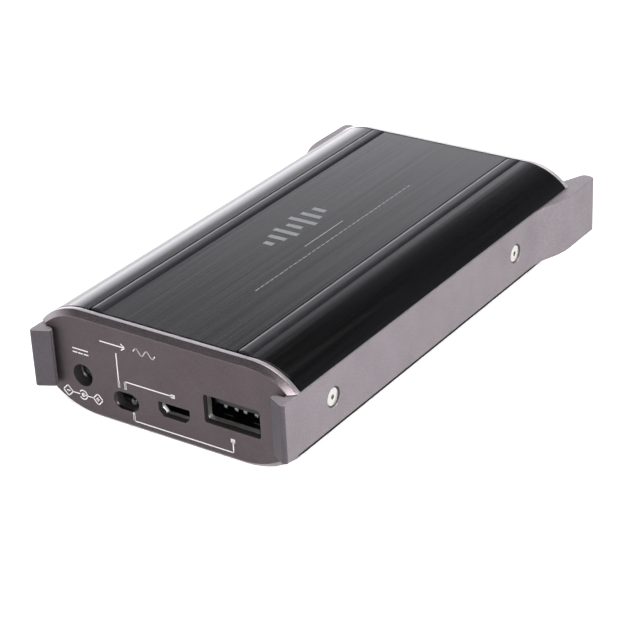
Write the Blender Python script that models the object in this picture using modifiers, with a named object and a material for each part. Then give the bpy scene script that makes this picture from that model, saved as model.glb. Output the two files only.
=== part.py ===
"""Pocket headphone amplifier and DAC, built as the pieces it comes apart into.

An extruded sleeve holds the circuit board and the battery. Two end panels close
it, and two side plates, each held by two screws, hook over both panels. The
control panel faces -Y, the socket panel faces +Y, and the origin is the centre
of the footprint on the surface the unit stands on. Dimensions are millimetres.
"""
import math

import bmesh
import bpy
from mathutils import Vector

MM = 0.001

# Fit and body section
GAP = 0.3
STRIP_PROUD = 0.25
BODY_HEIGHT = 22.2
BODY_BOTTOM = STRIP_PROUD
BODY_TOP = BODY_BOTTOM + BODY_HEIGHT
BODY_HALF_WIDTH = 29.5
SHOULDER_RADIUS = 13.0
SHOULDER_CENTRE_X = 19.9
LOWER_SHOULDER_RADIUS = 17.2
LOWER_SHOULDER_CENTRE_X = 17.1
CAVITY_FLOOR_X = 19.0
WALL = 2.1
SIDE_WALL_INNER_X = 25.4

# Lengthwise stations
REAR_TIP_Y = 57.0
FRONT_TIP_Y = -57.0
REAR_FACE_Y = 53.7
FRONT_FACE_Y = -50.3
PANEL_THICKNESS = 2.1
PANEL_CHAMFER = 1.1
REAR_PANEL_BACK_Y = REAR_FACE_Y - PANEL_THICKNESS
FRONT_PANEL_BACK_Y = FRONT_FACE_Y + PANEL_THICKNESS
SLEEVE_REAR_Y = REAR_PANEL_BACK_Y - GAP
SLEEVE_FRONT_Y = FRONT_PANEL_BACK_Y + GAP

# Side plates
PLATE_BOTTOM = 5.85
PLATE_HEIGHT = 12.1
PLATE_TOP = PLATE_BOTTOM + PLATE_HEIGHT
PLATE_OUTER_X = 29.45
PLATE_THICKNESS = 1.8
PLATE_INNER_X = PLATE_OUTER_X - PLATE_THICKNESS
PLATE_EDGE = 0.2
CHANNEL_X = PLATE_INNER_X - GAP
CHANNEL_GAP = 0.2
CHANNEL_TOP = PLATE_TOP + CHANNEL_GAP
CHANNEL_BOTTOM = PLATE_BOTTOM - CHANNEL_GAP
FLARE_X = 32.1
FLARE_START_Y = -35.8
FLARE_END_Y = -42.7
HOOK_TIP_X = 25.4
HOOK_ROUNDING = 0.7
HOOK_FACE_LENGTH = 1.9
HOOK_LEAD_IN = 1.1
HORN_INNER_X = 26.4
HORN_TIP_X = 28.7
HORN_ROUNDING = 1.4
HORN_INNER_ANGLE = 205
FLARE_BEND = 3.0
SCREW_Y = (41.2, -26.6)
SCREW_Z = 11.93
SCREW_HEAD_RADIUS = 1.8
SCREW_HEAD_SINK = 0.3
SCREW_HEAD_HEIGHT = 0.6
SCREW_HEAD_CHAMFER = 0.15
SCREW_HEAD_CLEARANCE = 0.25
SCREW_SHANK_RADIUS = 1.0
SCREW_TIP_CHAMFER = 0.3
SCREW_END_X = 25.0
SCREW_SOCKET_RADIUS = 0.72
SCREW_SOCKET_DEPTH = 0.45

# Tabs behind each end panel that reach into the sleeve
TAB_ROOT = 0.5
TAB_REACH = 1.5
TAB_THICKNESS = 1.1
TOP_TAB_HALF_WIDTH = 14.0
SIDE_TAB_Z = (8.0, 16.0)

# Grip strips let into the top and the bottom
TOP_STRIP_X = 17.1
BOTTOM_STRIP_X = 14.5
STRIP_WIDTH = 2.5
STRIP_GROOVE_DEPTH = 1.0
STRIP_ROUNDING = 0.45
STRIP_END_GAP = 0.4

# Circuit board and the rails that hold its edges
BOARD_BOTTOM = 3.3
BOARD_THICKNESS = 1.4
BOARD_TOP = BOARD_BOTTOM + BOARD_THICKNESS
BOARD_HALF_WIDTH = 23.9
BOARD_END_GAP = 0.6
PART_SEAT = BOARD_TOP + GAP
RAIL_INNER_X = 23.2
RAIL_THICKNESS = 0.9

# Socket panel layout (X, Z)
USB_A = (-15.35, 10.1)
USB_A_CUT = (12.6, 5.8)
USB_A_CUT_CORNER = 0.4
USB_A_SHELL = (13.3, 6.0)
USB_A_SHELL_CORNER = 0.6
USB_A_OPENING = (12.5, 5.2)
USB_A_OPENING_CORNER = 0.3
USB_A_DEPTH = 14.0
USB_A_BASE = (5.9, 0.6, 3.6, 2.2)
USB_A_BLADE = (5.4, 2.0, 1.2, 0.1, 1.9)
MICRO_USB = (-1.9, 7.0)
MICRO_USB_CUT = (7.25, 2.9)
MICRO_USB_CUT_CORNER = 1.1
MICRO_USB_SHELL = (8.0, 3.3)
MICRO_USB_SHELL_CORNER = 1.2
MICRO_USB_OPENING = (7.3, 2.6)
MICRO_USB_OPENING_CORNER = 1.0
MICRO_USB_DEPTH = 5.6
MICRO_USB_BASE = (2.3, 0.4, 2.0, 0.9)
MICRO_USB_BLADE = (1.9, 1.2, 0.5, 0.1, 0.75)
USB_POCKET_DEPTH = 0.9
USB_MOUTH_Y = REAR_PANEL_BACK_Y + USB_POCKET_DEPTH - GAP
DC_JACK = (19.8, 9.0)
DC_HOLE_RADIUS = 2.3
DC_JACK_SIZE = (5.9, 11.5)
DC_JACK_ABOVE = 3.4
DC_BORE_RADIUS = 2.2
DC_BORE_DEPTH = 9.5
DC_PIN_RADIUS = 0.85
DC_PIN_LENGTH = 9.7
DC_PIN_SINK = 0.8
DC_PIN_NOSE = 0.5
DC_PIN_CROWN = 0.1
SELECTOR = (9.5, 6.15)
SELECTOR_TRAVEL = 2.7

# Control panel layout (X, Z)
KNOB = (14.5, 11.3)
KNOB_RADIUS = 6.25
KNOB_LENGTH = 5.9
KNOB_BACK_Y = FRONT_FACE_Y - 0.5
KNOB_FRONT_Y = KNOB_BACK_Y - KNOB_LENGTH
KNOB_BORE_RADIUS = 2.8
KNOB_BORE_FLOOR = 1.7
KNOB_RECESS = (5.1, 2.2)
KNOB_DISH = (4.75, 0.2)
KNOB_EDGE = 0.45
SHAFT_RADIUS = 2.5
POT_SIZE = (10.0, 8.0)
POT_ABOVE = 5.6
POT_SET_BACK = 1.0
POT_BUSHING_RADIUS = 3.2
POT_BUSHING_REACH = 1.9
POT_BORE_DEPTH = 5.0
POT_HOLE_RADIUS = 3.6
NUT_RADIUS = 4.6
NUT_THICKNESS = 1.3
PHONES_JACK = (-18.2, 9.0)
INPUT_JACK = (-7.2, 9.0)
JACK_NOSE_RADIUS = 2.9
JACK_NOSE_REACH = 0.25
JACK_BORE_RADIUS = 1.8
JACK_BORE_DEPTH = 9.5
JACK_BODY = (8.0, 11.0)
JACK_BODY_ABOVE = 3.7
GAIN = (2.2, 9.0)
GAIN_TRAVEL = 2.0
LIGHT_PIPES = {"power_light_pipe": (5.0, 15.2), "charge_light_pipe": (-0.6, 15.2)}
LIGHT_PIPE_RADIUS = 0.75
LIGHT_PIPE_REACH = 3.0
LIGHT_PIPE_PROUD = 0.1

# Slide switches
SLOT_HEIGHT = 3.0
SLOT_FLARE = 0.4
SLOT_OVERCUT = 0.1
SLOT_SLIVER = 0.02
NUB_RADIUS = 0.95
NUB_STEM_RADIUS = 0.6
NUB_STEM_ROOT = 1.0
NUB_STEM_LAP = 0.5
NUB_SINK = 0.35
SWITCH_DEPTH = 5.0
SWITCH_WALL = 1.2
SWITCH_ABOVE = 2.0
SWITCH_SKIRT = (0.3, 1.0)
POCKET_DEPTH = 2.6
POCKET_Z = (-0.8, 1.4)
SLIDER_WIDTH = 4.0
SLIDER_Z = (-0.5, 1.0)

# Battery and its shelf
SHELF_BOTTOM = 12.0
SHELF_THICKNESS = 0.9
BATTERY_SIZE = (43.0, 62.0, 6.2)
BATTERY_Y = 1.0
BATTERY_BOTTOM = SHELF_BOTTOM + SHELF_THICKNESS + GAP
BATTERY_TOP = BATTERY_BOTTOM + BATTERY_SIZE[2]
BATTERY_ROUNDING = 1.2
PAD_HALF_SIZE = (15.0, 20.0)
SHELF_MARGIN = (0.9, 1.0)
SHELF_LEG_INSET = (0.3, 0.5)
SHELF_LEG_HALF = 1.0
SHELF_LEG_OVERLAP = 0.4
CONNECTOR_SIZE = (6.4, 4.0, 3.4)
CONNECTOR_DISTANCE = 6.0
LEAD_X = 1.4
LEAD_RADIUS = 0.5
LEAD_BEND = (4.0, 3.0)
LEAD_SEAT = 1.2
LEAD_HOLE = (0.8, 1.6)

# Parts on the board: name, centre (X, Y), size, finish
CHIPS = (
    ("dac_chip", (-6.0, 8.0), (7.0, 7.0, 1.2), "black_plastic"),
    ("usb_bridge_chip", (-12.0, 26.0), (9.0, 9.0, 1.2), "black_plastic"),
    ("headphone_amp_chip", (-12.0, -24.0), (5.0, 4.4, 1.2), "black_plastic"),
    ("charger_chip", (14.0, 28.0), (4.0, 4.0, 1.0), "black_plastic"),
    ("power_inductor", (7.0, 29.0), (6.0, 6.0, 3.0), "black_plastic"),
    ("clock_crystal", (-1.0, 20.0), (5.0, 3.2, 1.2), "steel"),
)
CAPACITOR_RADIUS = 2.5
CAPACITOR_HEIGHT = 5.4
CAPACITOR_PITCH = (6.5, 7.0)
CAPACITOR_START = (2.0, -14.0)
CAPACITOR_ROUNDING = 0.3
SHIELD_LOW = (8.0, -6.0)
SHIELD_HIGH = (20.0, 10.0)
SHIELD_HEIGHT = 2.6
SHIELD_WALL = 0.3

CUT_MARGIN = 4.0
CORNER_STEPS = 4

ROUND_STEPS = 24
FINISHES = {
    "black_anodised": ((0.018, 0.018, 0.020), 0.34, 0.85),
    "gunmetal": ((0.135, 0.112, 0.118), 0.45, 0.9),
    "rubber": ((0.030, 0.030, 0.033), 0.55, 0.0),
    "steel": ((0.62, 0.62, 0.60), 0.25, 1.0),
    "knob_metal": ((0.10, 0.09, 0.095), 0.32, 0.95),
    "black_plastic": ((0.012, 0.012, 0.013), 0.42, 0.0),
    "contact_metal": ((0.70, 0.68, 0.62), 0.3, 1.0),
    "board_green": ((0.015, 0.09, 0.04), 0.5, 0.0),
    "cell_wrap": ((0.45, 0.47, 0.48), 0.35, 0.6),
    "foam": ((0.05, 0.05, 0.05), 0.9, 0.0),
    "light_guide": ((0.75, 0.78, 0.80), 0.15, 0.0),
    "lead_red": ((0.5, 0.02, 0.015), 0.45, 0.0),
    "lead_black": ((0.01, 0.01, 0.01), 0.45, 0.0),
}


# ---------------------------------------------------------------- scene set-up

def clear_scene():
    for obj in list(bpy.data.objects):
        bpy.data.objects.remove(obj, do_unlink=True)


def make_collection(name):
    collection = bpy.data.collections.new(name)
    bpy.context.scene.collection.children.link(collection)
    return collection


def make_finish(name, node):
    colour, roughness, metallic = FINISHES[name]
    material = bpy.data.materials.new(f"{node}_{name}")
    material.use_nodes = True
    shader = material.node_tree.nodes["Principled BSDF"]
    shader.inputs["Base Color"].default_value = (*colour, 1.0)
    shader.inputs["Roughness"].default_value = roughness
    shader.inputs["Metallic"].default_value = metallic
    material.diffuse_color = (*colour, 1.0)
    return material


clear_scene()
PARTS = make_collection("headphone_amplifier")
CUTTERS = make_collection("cutters")


# -------------------------------------------------------------------- outlines

def arc(centre, radius, start_deg, end_deg, steps):
    """Points along an arc, both ends included."""
    points = []
    for index in range(steps + 1):
        angle = math.radians(start_deg + (end_deg - start_deg) * index / steps)
        points.append((centre[0] + radius * math.cos(angle), centre[1] + radius * math.sin(angle)))
    return points


def rounded_rectangle(centre, width, height, radius, steps=3):
    dx = width / 2 - radius
    dz = height / 2 - radius
    points = []
    for sx, sz, start in ((1, 1, 0), (-1, 1, 90), (-1, -1, 180), (1, -1, 270)):
        corner = (centre[0] + sx * dx, centre[1] + sz * dz)
        points += arc(corner, radius, start, start + 90, steps)
    return points


def stadium(centre, width, height, steps=8):
    radius = height / 2
    dx = width / 2 - radius
    right = arc((centre[0] + dx, centre[1]), radius, -90, 90, steps)
    left = arc((centre[0] - dx, centre[1]), radius, 90, 270, steps)
    return right + left


def both_sides(half):
    """Close a right-hand half outline, given from the top down, with its mirror image."""
    return half + [(-x, z) for x, z in reversed(half)]


def shoulder_arcs():
    """Right-hand shoulder arcs, the upper one and the flatter lower one, from the top down."""
    upper_end = math.degrees(math.acos((BODY_HALF_WIDTH - SHOULDER_CENTRE_X) / SHOULDER_RADIUS))
    lower_start = math.degrees(math.acos((BODY_HALF_WIDTH - LOWER_SHOULDER_CENTRE_X) / LOWER_SHOULDER_RADIUS))
    upper_centre = (SHOULDER_CENTRE_X, BODY_TOP - SHOULDER_RADIUS)
    lower_centre = (LOWER_SHOULDER_CENTRE_X, BODY_BOTTOM + LOWER_SHOULDER_RADIUS)
    upper = arc(upper_centre, SHOULDER_RADIUS, 90, upper_end, 10)
    lower = arc(lower_centre, LOWER_SHOULDER_RADIUS, -lower_start, -90, 10)
    return upper, lower


def panel_outline():
    upper, lower = shoulder_arcs()
    return both_sides(upper + lower)


def sleeve_outline():
    """Outer section of the sleeve, with its strip grooves and side channels."""
    upper, lower = shoulder_arcs()
    groove_half = STRIP_WIDTH / 2 + GAP
    top_in, top_out = TOP_STRIP_X - groove_half, TOP_STRIP_X + groove_half
    bottom_in, bottom_out = BOTTOM_STRIP_X - groove_half, BOTTOM_STRIP_X + groove_half
    top_floor = BODY_TOP - STRIP_GROOVE_DEPTH
    bottom_floor = BODY_BOTTOM + STRIP_GROOVE_DEPTH
    half = [(top_in, BODY_TOP), (top_in, top_floor)]
    half += [(top_out, top_floor), (top_out, BODY_TOP)]
    half += upper
    half += [(BODY_HALF_WIDTH, CHANNEL_TOP), (CHANNEL_X, CHANNEL_TOP)]
    half += [(CHANNEL_X, CHANNEL_BOTTOM), (BODY_HALF_WIDTH, CHANNEL_BOTTOM)]
    half += lower
    half += [(bottom_out, BODY_BOTTOM), (bottom_out, bottom_floor)]
    half += [(bottom_in, bottom_floor), (bottom_in, BODY_BOTTOM)]
    return both_sides(half)


def cavity_outline():
    """Inner section of the sleeve, with a rail above and below each edge of the board."""
    radius = SHOULDER_RADIUS - WALL
    centre = (SHOULDER_CENTRE_X, BODY_TOP - SHOULDER_RADIUS)
    top_end = math.degrees(math.acos((SIDE_WALL_INNER_X - SHOULDER_CENTRE_X) / radius))
    slot_x = BOARD_HALF_WIDTH + GAP
    half = arc(centre, radius, 90, top_end, 6)
    half += [(SIDE_WALL_INNER_X, PART_SEAT + RAIL_THICKNESS), (RAIL_INNER_X, PART_SEAT + RAIL_THICKNESS)]
    half += [(RAIL_INNER_X, PART_SEAT), (slot_x, PART_SEAT)]
    half += [(slot_x, BOARD_BOTTOM - GAP), (RAIL_INNER_X - GAP, BOARD_BOTTOM - GAP)]
    half.append((CAVITY_FLOOR_X, BODY_BOTTOM + WALL))
    return both_sides(half)


# ------------------------------------------------------------- solid primitives

def scaled(values):
    return tuple(value * MM for value in values)


def place(name, mesh, finish, collection=None):
    obj = bpy.data.objects.new(name, mesh)
    if collection is None:
        collection = PARTS
        mesh.materials.clear()
        mesh.materials.append(make_finish(finish, name))
    else:
        obj.hide_render = True
        obj.display_type = "WIRE"
    collection.objects.link(obj)
    return obj


def mesh_from(bm, name):
    mesh = bpy.data.meshes.new(name)
    bm.to_mesh(mesh)
    bm.free()
    return mesh


def merge_flat_faces(bm):
    bmesh.ops.dissolve_limit(bm, angle_limit=math.radians(1), verts=bm.verts, edges=bm.edges)


PLANE_TURN = {
    "X": (math.radians(90), 0.0, math.radians(90)),
    "Y": (math.radians(90), 0.0, 0.0),
    "Z": (0.0, 0.0, 0.0),
}


def slab(name, loops, axis, low, high, finish, collection=None, move=(0.0, 0.0)):
    """Flat outline with any holes, extruded from low to high along one axis."""
    curve = bpy.data.curves.new(name, "CURVE")
    curve.dimensions = "2D"
    curve.fill_mode = "BOTH"
    curve.extrude = (high - low) / 2 * MM
    for loop in loops:
        spline = curve.splines.new("POLY")
        spline.points.add(len(loop) - 1)
        for point, (a, b) in zip(spline.points, loop):
            point.co = (a * MM, b * MM, 0.0, 1.0)
        spline.use_cyclic_u = True
    guide = bpy.data.objects.new(name, curve)
    middle = (low + high) / 2
    location = {
        "X": (middle, move[0], move[1]),
        "Y": (move[0], middle, move[1]),
        "Z": (move[0], move[1], middle),
    }[axis]
    guide.location = scaled(location)
    guide.rotation_euler = PLANE_TURN[axis]
    bpy.context.scene.collection.objects.link(guide)
    graph = bpy.context.evaluated_depsgraph_get()
    mesh = bpy.data.meshes.new_from_object(guide.evaluated_get(graph))
    world = guide.matrix_world.copy()
    bpy.data.objects.remove(guide, do_unlink=True)
    bm = bmesh.new()
    bm.from_mesh(mesh)
    bmesh.ops.remove_doubles(bm, verts=bm.verts, dist=1e-6)
    if len(loops) == 1:
        merge_flat_faces(bm)
    bmesh.ops.recalc_face_normals(bm, faces=bm.faces)
    bm.to_mesh(mesh)
    bm.free()
    obj = place(name, mesh, finish, collection)
    obj.matrix_world = world
    return obj


def block(name, low, high, finish, collection=None):
    """Box between two corners."""
    centre = [(a + b) / 2 for a, b in zip(low, high)]
    size = [b - a for a, b in zip(low, high)]
    bm = bmesh.new()
    bmesh.ops.create_cube(bm, size=1.0)
    bmesh.ops.scale(bm, vec=scaled(size), verts=bm.verts)
    obj = place(name, mesh_from(bm, name), finish, collection)
    obj.location = scaled(centre)
    return obj


def rod(name, radius, axis, low, high, at, finish, collection=None, sides=ROUND_STEPS):
    """Cylinder along one axis; at gives the two other coordinates in X, Y, Z order."""
    bm = bmesh.new()
    length = (high - low) * MM
    bmesh.ops.create_cone(bm, cap_ends=True, segments=sides, radius1=radius * MM,
                          radius2=radius * MM, depth=length)
    obj = place(name, mesh_from(bm, name), finish, collection)
    middle = (low + high) / 2
    centre = {"X": (middle, *at), "Y": (at[0], middle, at[1]), "Z": (*at, middle)}[axis]
    obj.location = scaled(centre)
    obj.rotation_euler = PLANE_TURN[axis]
    shade_round(obj)
    return obj


def turned(name, profile, centre, turn, finish, steps=ROUND_STEPS):
    """Solid of revolution from (radius, height) points that run top to bottom."""
    bm = bmesh.new()
    verts = [bm.verts.new((radius * MM, 0.0, height * MM)) for radius, height in profile]
    for first, second in zip(verts, verts[1:]):
        bm.edges.new((first, second))
    if profile[0][0] > 0.0:
        bm.edges.new((verts[-1], verts[0]))
    obj = place(name, mesh_from(bm, name), finish)
    screw = obj.modifiers.new("turn", "SCREW")
    screw.steps = steps
    screw.render_steps = steps
    screw.use_merge_vertices = True
    screw.merge_threshold = 0.00001
    screw.use_smooth_shade = True
    obj.location = scaled(centre)
    obj.rotation_euler = turn
    return obj


def shade_round(obj):
    obj.data.shade_smooth()
    obj.data.set_sharp_from_angle(angle=math.radians(35))


def tube(name, points, radius, finish):
    """Round wire through the given points."""
    curve = bpy.data.curves.new(name, "CURVE")
    curve.dimensions = "3D"
    curve.bevel_depth = radius * MM
    curve.bevel_resolution = 2
    curve.use_fill_caps = True
    spline = curve.splines.new("POLY")
    spline.points.add(len(points) - 1)
    for point, position in zip(spline.points, points):
        point.co = (*scaled(position), 1.0)
    curve.materials.append(make_finish(finish, name))
    obj = bpy.data.objects.new(name, curve)
    PARTS.objects.link(obj)
    return obj


# ------------------------------------------------------------------- operations

def combine(target, tool, operation):
    modifier = target.modifiers.new(f"{operation.lower()}_{tool.name}", "BOOLEAN")
    modifier.object = tool
    modifier.operation = operation
    modifier.solver = "EXACT"


def cut(target, tool):
    combine(target, tool, "DIFFERENCE")


def add(target, tool):
    combine(target, tool, "UNION")


def soften(obj, width, segments=1, angle=30):
    bevel = obj.modifiers.new("edge", "BEVEL")
    bevel.width = width * MM
    bevel.segments = segments
    bevel.limit_method = "ANGLE"
    bevel.angle_limit = math.radians(angle)
    bevel.use_clamp_overlap = True


def bevel_ends(obj, ends, width, segments=1):
    """Bevel the outline of a slab's or rod's end faces; ends are -1, +1 or both, in its local Z."""
    bm = bmesh.new()
    bm.from_mesh(obj.data)
    for end in ends:
        reach = max(end * vert.co.z for vert in bm.verts)
        rim = [edge for edge in bm.edges
               if all(abs(end * vert.co.z - reach) < 1e-6 for vert in edge.verts)]
        bmesh.ops.bevel(bm, geom=rim, offset=width * MM, offset_type="OFFSET", segments=segments,
                        affect="EDGES", profile=0.5)
    bm.to_mesh(obj.data)
    bm.free()


def chamfer_end(obj, side, width):
    """Chamfer the end that looks along side (+1 or -1) in Y, which is the mesh's own -Z."""
    bevel_ends(obj, (-side,), width)


# ------------------------------------------------------------------ case pieces

def make_sleeve():
    sleeve = slab("case_sleeve", [sleeve_outline(), cavity_outline()], "Y",
                  SLEEVE_FRONT_Y, SLEEVE_REAR_Y, "black_anodised")
    for side in (-1, 1):
        for index, screw_y in enumerate(SCREW_Y):
            low, high = sorted((side * (SIDE_WALL_INNER_X - 1), side * (CHANNEL_X + 1)))
            hole = rod(f"sleeve_hole_{side}_{index}", SCREW_SHANK_RADIUS + GAP, "X", low, high,
                       (screw_y, SCREW_Z), None, CUTTERS, 16)
            cut(sleeve, hole)
    return sleeve


def make_panel(name, face_y, side):
    """End panel with a chamfered rim and three tabs that reach into the sleeve."""
    back_y = face_y - side * PANEL_THICKNESS
    low, high = sorted((face_y, back_y))
    panel = slab(name, [panel_outline()], "Y", low, high, "gunmetal")
    chamfer_end(panel, side, PANEL_CHAMFER)
    tab_low, tab_high = sorted((back_y + side * TAB_ROOT, back_y - side * TAB_REACH))
    tab_top = BODY_TOP - WALL - GAP
    top_tab = block(f"{name}_top_tab", (-TOP_TAB_HALF_WIDTH, tab_low, tab_top - TAB_THICKNESS),
                    (TOP_TAB_HALF_WIDTH, tab_high, tab_top), None, CUTTERS)
    add(panel, top_tab)
    for hand in (-1, 1):
        x_low, x_high = sorted((hand * CHANNEL_X, hand * (BODY_HALF_WIDTH + 1)))
        cut(panel, block(f"{name}_channel_{hand}", (x_low, low - 1, CHANNEL_BOTTOM),
                         (x_high, high + 1, CHANNEL_TOP), None, CUTTERS))
        tab_x = SIDE_WALL_INNER_X - GAP
        x_low, x_high = sorted((hand * tab_x, hand * (tab_x - TAB_THICKNESS)))
        tab = block(f"{name}_side_tab_{hand}", (x_low, tab_low, SIDE_TAB_Z[0]),
                    (x_high, tab_high, SIDE_TAB_Z[1]), None, CUTTERS)
        add(panel, tab)
    return panel


def through_panel(name, loop, face_y):
    return slab(name, [loop], "Y", face_y - CUT_MARGIN, face_y + CUT_MARGIN, None, CUTTERS)


def round_hole(panel, name, radius, at, face_y, sides=ROUND_STEPS):
    cut(panel, rod(name, radius, "Y", face_y - CUT_MARGIN, face_y + CUT_MARGIN, at, None, CUTTERS, sides))


def flared_slot(panel, name, centre, travel, face_y, side):
    """Slot for a slide switch's nub, its rim flared outwards at 45 degrees."""
    width = travel + 2 * NUB_RADIUS + 2 * GAP
    cut(panel, through_panel(f"{name}_slot", stadium(centre, width, SLOT_HEIGHT), face_y))
    rim = stadium(centre, width + 2 * SLOT_FLARE, SLOT_HEIGHT + 2 * SLOT_FLARE)
    taper = SLOT_FLARE + SLOT_OVERCUT
    low, high = sorted((face_y - side * (taper + SLOT_SLIVER), face_y + side * 1.0))
    flare = slab(f"{name}_flare", [rim], "Y", low, high, None, CUTTERS)
    chamfer_end(flare, -side, taper)
    cut(panel, flare)


def micro_usb_outline(centre, width, height, corner):
    """D-shaped micro-B outline: square at the top, its lower corners cut off."""
    x, z = centre
    right, top = x + width / 2, z + height / 2
    left, bottom = x - width / 2, z - height / 2
    return [(left, top), (left, bottom + corner), (left + corner, bottom),
            (right - corner, bottom), (right, bottom + corner), (right, top)]


def grown(size, gap):
    return tuple(value + 2 * gap for value in size)


def make_rear_panel():
    """The USB sockets' mouths stand in pockets behind their openings."""
    panel = make_panel("rear_panel", REAR_FACE_Y, 1)
    usb = rounded_rectangle(USB_A, *USB_A_CUT, USB_A_CUT_CORNER)
    cut(panel, through_panel("usb_a_cut", usb, REAR_FACE_Y))
    micro = micro_usb_outline(MICRO_USB, *MICRO_USB_CUT, MICRO_USB_CUT_CORNER)
    cut(panel, through_panel("micro_usb_cut", micro, REAR_FACE_Y))
    usb_pocket = rounded_rectangle(USB_A, *grown(USB_A_SHELL, GAP), USB_A_SHELL_CORNER)
    micro_pocket = micro_usb_outline(MICRO_USB, *grown(MICRO_USB_SHELL, GAP), MICRO_USB_SHELL_CORNER)
    for name, loop in (("usb_a_pocket", usb_pocket), ("micro_usb_pocket", micro_pocket)):
        cut(panel, slab(name, [loop], "Y", REAR_PANEL_BACK_Y - 1, REAR_PANEL_BACK_Y + USB_POCKET_DEPTH,
                        None, CUTTERS))
    round_hole(panel, "dc_hole", DC_HOLE_RADIUS, DC_JACK, REAR_FACE_Y, 28)
    flared_slot(panel, "selector", SELECTOR, SELECTOR_TRAVEL, REAR_FACE_Y, 1)
    shade_round(panel)


def make_front_panel():
    panel = make_panel("front_panel", FRONT_FACE_Y, -1)
    holes = {"knob": (KNOB, POT_HOLE_RADIUS), "phones": (PHONES_JACK, JACK_NOSE_RADIUS + GAP),
             "input": (INPUT_JACK, JACK_NOSE_RADIUS + GAP)}
    for name, at in LIGHT_PIPES.items():
        holes[name] = (at, LIGHT_PIPE_RADIUS + GAP)
    for name, (at, radius) in holes.items():
        round_hole(panel, f"{name}_hole", radius, at, FRONT_FACE_Y)
    flared_slot(panel, "gain", GAIN, GAIN_TRAVEL, FRONT_FACE_Y, -1)
    shade_round(panel)


def bend(before, corner, after, reach, steps=CORNER_STEPS):
    """Smooth curve through a corner, starting and ending reach away from it."""
    here = Vector(corner)
    first = here + (Vector(before) - here).normalized() * reach
    last = here + (Vector(after) - here).normalized() * reach
    points = []
    for step in range(steps + 1):
        t = step / steps
        points.append(tuple(first * (1 - t) ** 2 + here * 2 * t * (1 - t) + last * t * t))
    return points


def plate_outline(side):
    """Plan of a side plate: hook over the socket panel, flared horn past the control panel."""
    corner = (PLATE_OUTER_X - HOOK_ROUNDING, REAR_TIP_Y - HOOK_ROUNDING)
    points = arc(corner, HOOK_ROUNDING, 0, 115, CORNER_STEPS)
    points += [
        (HOOK_TIP_X, REAR_TIP_Y - HOOK_FACE_LENGTH),
        (HOOK_TIP_X, REAR_FACE_Y + 2 * GAP),
        (HOOK_TIP_X + HOOK_LEAD_IN, REAR_FACE_Y + GAP),
        (PLATE_INNER_X, REAR_FACE_Y + GAP),
        (PLATE_INNER_X, FRONT_FACE_Y - GAP),
        (HORN_INNER_X, FRONT_FACE_Y - GAP),
    ]
    inner_round = (HORN_TIP_X + HORN_ROUNDING, FRONT_TIP_Y + HORN_ROUNDING)
    outer_round = (FLARE_X - HORN_ROUNDING, FRONT_TIP_Y + HORN_ROUNDING)
    points += arc(inner_round, HORN_ROUNDING, HORN_INNER_ANGLE, 270, CORNER_STEPS)
    points += arc(outer_round, HORN_ROUNDING, 270, 360, CORNER_STEPS)
    flare_end, flare_start = (FLARE_X, FLARE_END_Y), (PLATE_OUTER_X, FLARE_START_Y)
    points += bend((FLARE_X, FRONT_TIP_Y), flare_end, flare_start, FLARE_BEND)
    points += bend(flare_end, flare_start, (PLATE_OUTER_X, REAR_TIP_Y), FLARE_BEND)
    return [(side * x, y) for x, y in points]


def make_side_plate(name, side):
    plate = slab(name, [plate_outline(side)], "Z", PLATE_BOTTOM, PLATE_TOP, "gunmetal")
    bevel_ends(plate, (-1, 1), PLATE_EDGE, 2)
    for index, screw_y in enumerate(SCREW_Y):
        reach = SCREW_HEAD_SINK + SCREW_HEAD_HEIGHT + GAP
        low, high = sorted((side * (PLATE_OUTER_X - reach), side * (PLATE_OUTER_X + 1)))
        cut(plate, rod(f"{name}_counterbore_{index}", SCREW_HEAD_RADIUS + SCREW_HEAD_CLEARANCE, "X",
                       low, high, (screw_y, SCREW_Z), None, CUTTERS))
        low, high = sorted((side * (PLATE_INNER_X - 1), side * (PLATE_OUTER_X + 1)))
        cut(plate, rod(f"{name}_hole_{index}", SCREW_SHANK_RADIUS + GAP, "X", low, high,
                       (screw_y, SCREW_Z), None, CUTTERS, 16))
    shade_round(plate)


def make_plate_screw(name, side, screw_y):
    """Low flat-head socket screw through the plate into the sleeve's wall."""
    head_x = PLATE_OUTER_X - SCREW_HEAD_SINK
    length = head_x - SCREW_END_X
    profile = [(0.0, 0.0), (SCREW_HEAD_RADIUS - SCREW_HEAD_CHAMFER, 0.0),
               (SCREW_HEAD_RADIUS, -SCREW_HEAD_CHAMFER), (SCREW_HEAD_RADIUS, -SCREW_HEAD_HEIGHT),
               (SCREW_SHANK_RADIUS, -SCREW_HEAD_HEIGHT), (SCREW_SHANK_RADIUS, SCREW_TIP_CHAMFER - length),
               (SCREW_SHANK_RADIUS - SCREW_TIP_CHAMFER, -length), (0.0, -length)]
    turn = (0.0, side * math.radians(90), 0.0)
    screw = turned(name, profile, (side * head_x, screw_y, SCREW_Z), turn, "steel")
    low, high = sorted((side * (head_x - SCREW_SOCKET_DEPTH), side * (head_x + 1)))
    cut(screw, rod(f"{name}_socket", SCREW_SOCKET_RADIUS, "X", low, high, (screw_y, SCREW_Z),
                   None, CUTTERS, 6))


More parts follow.
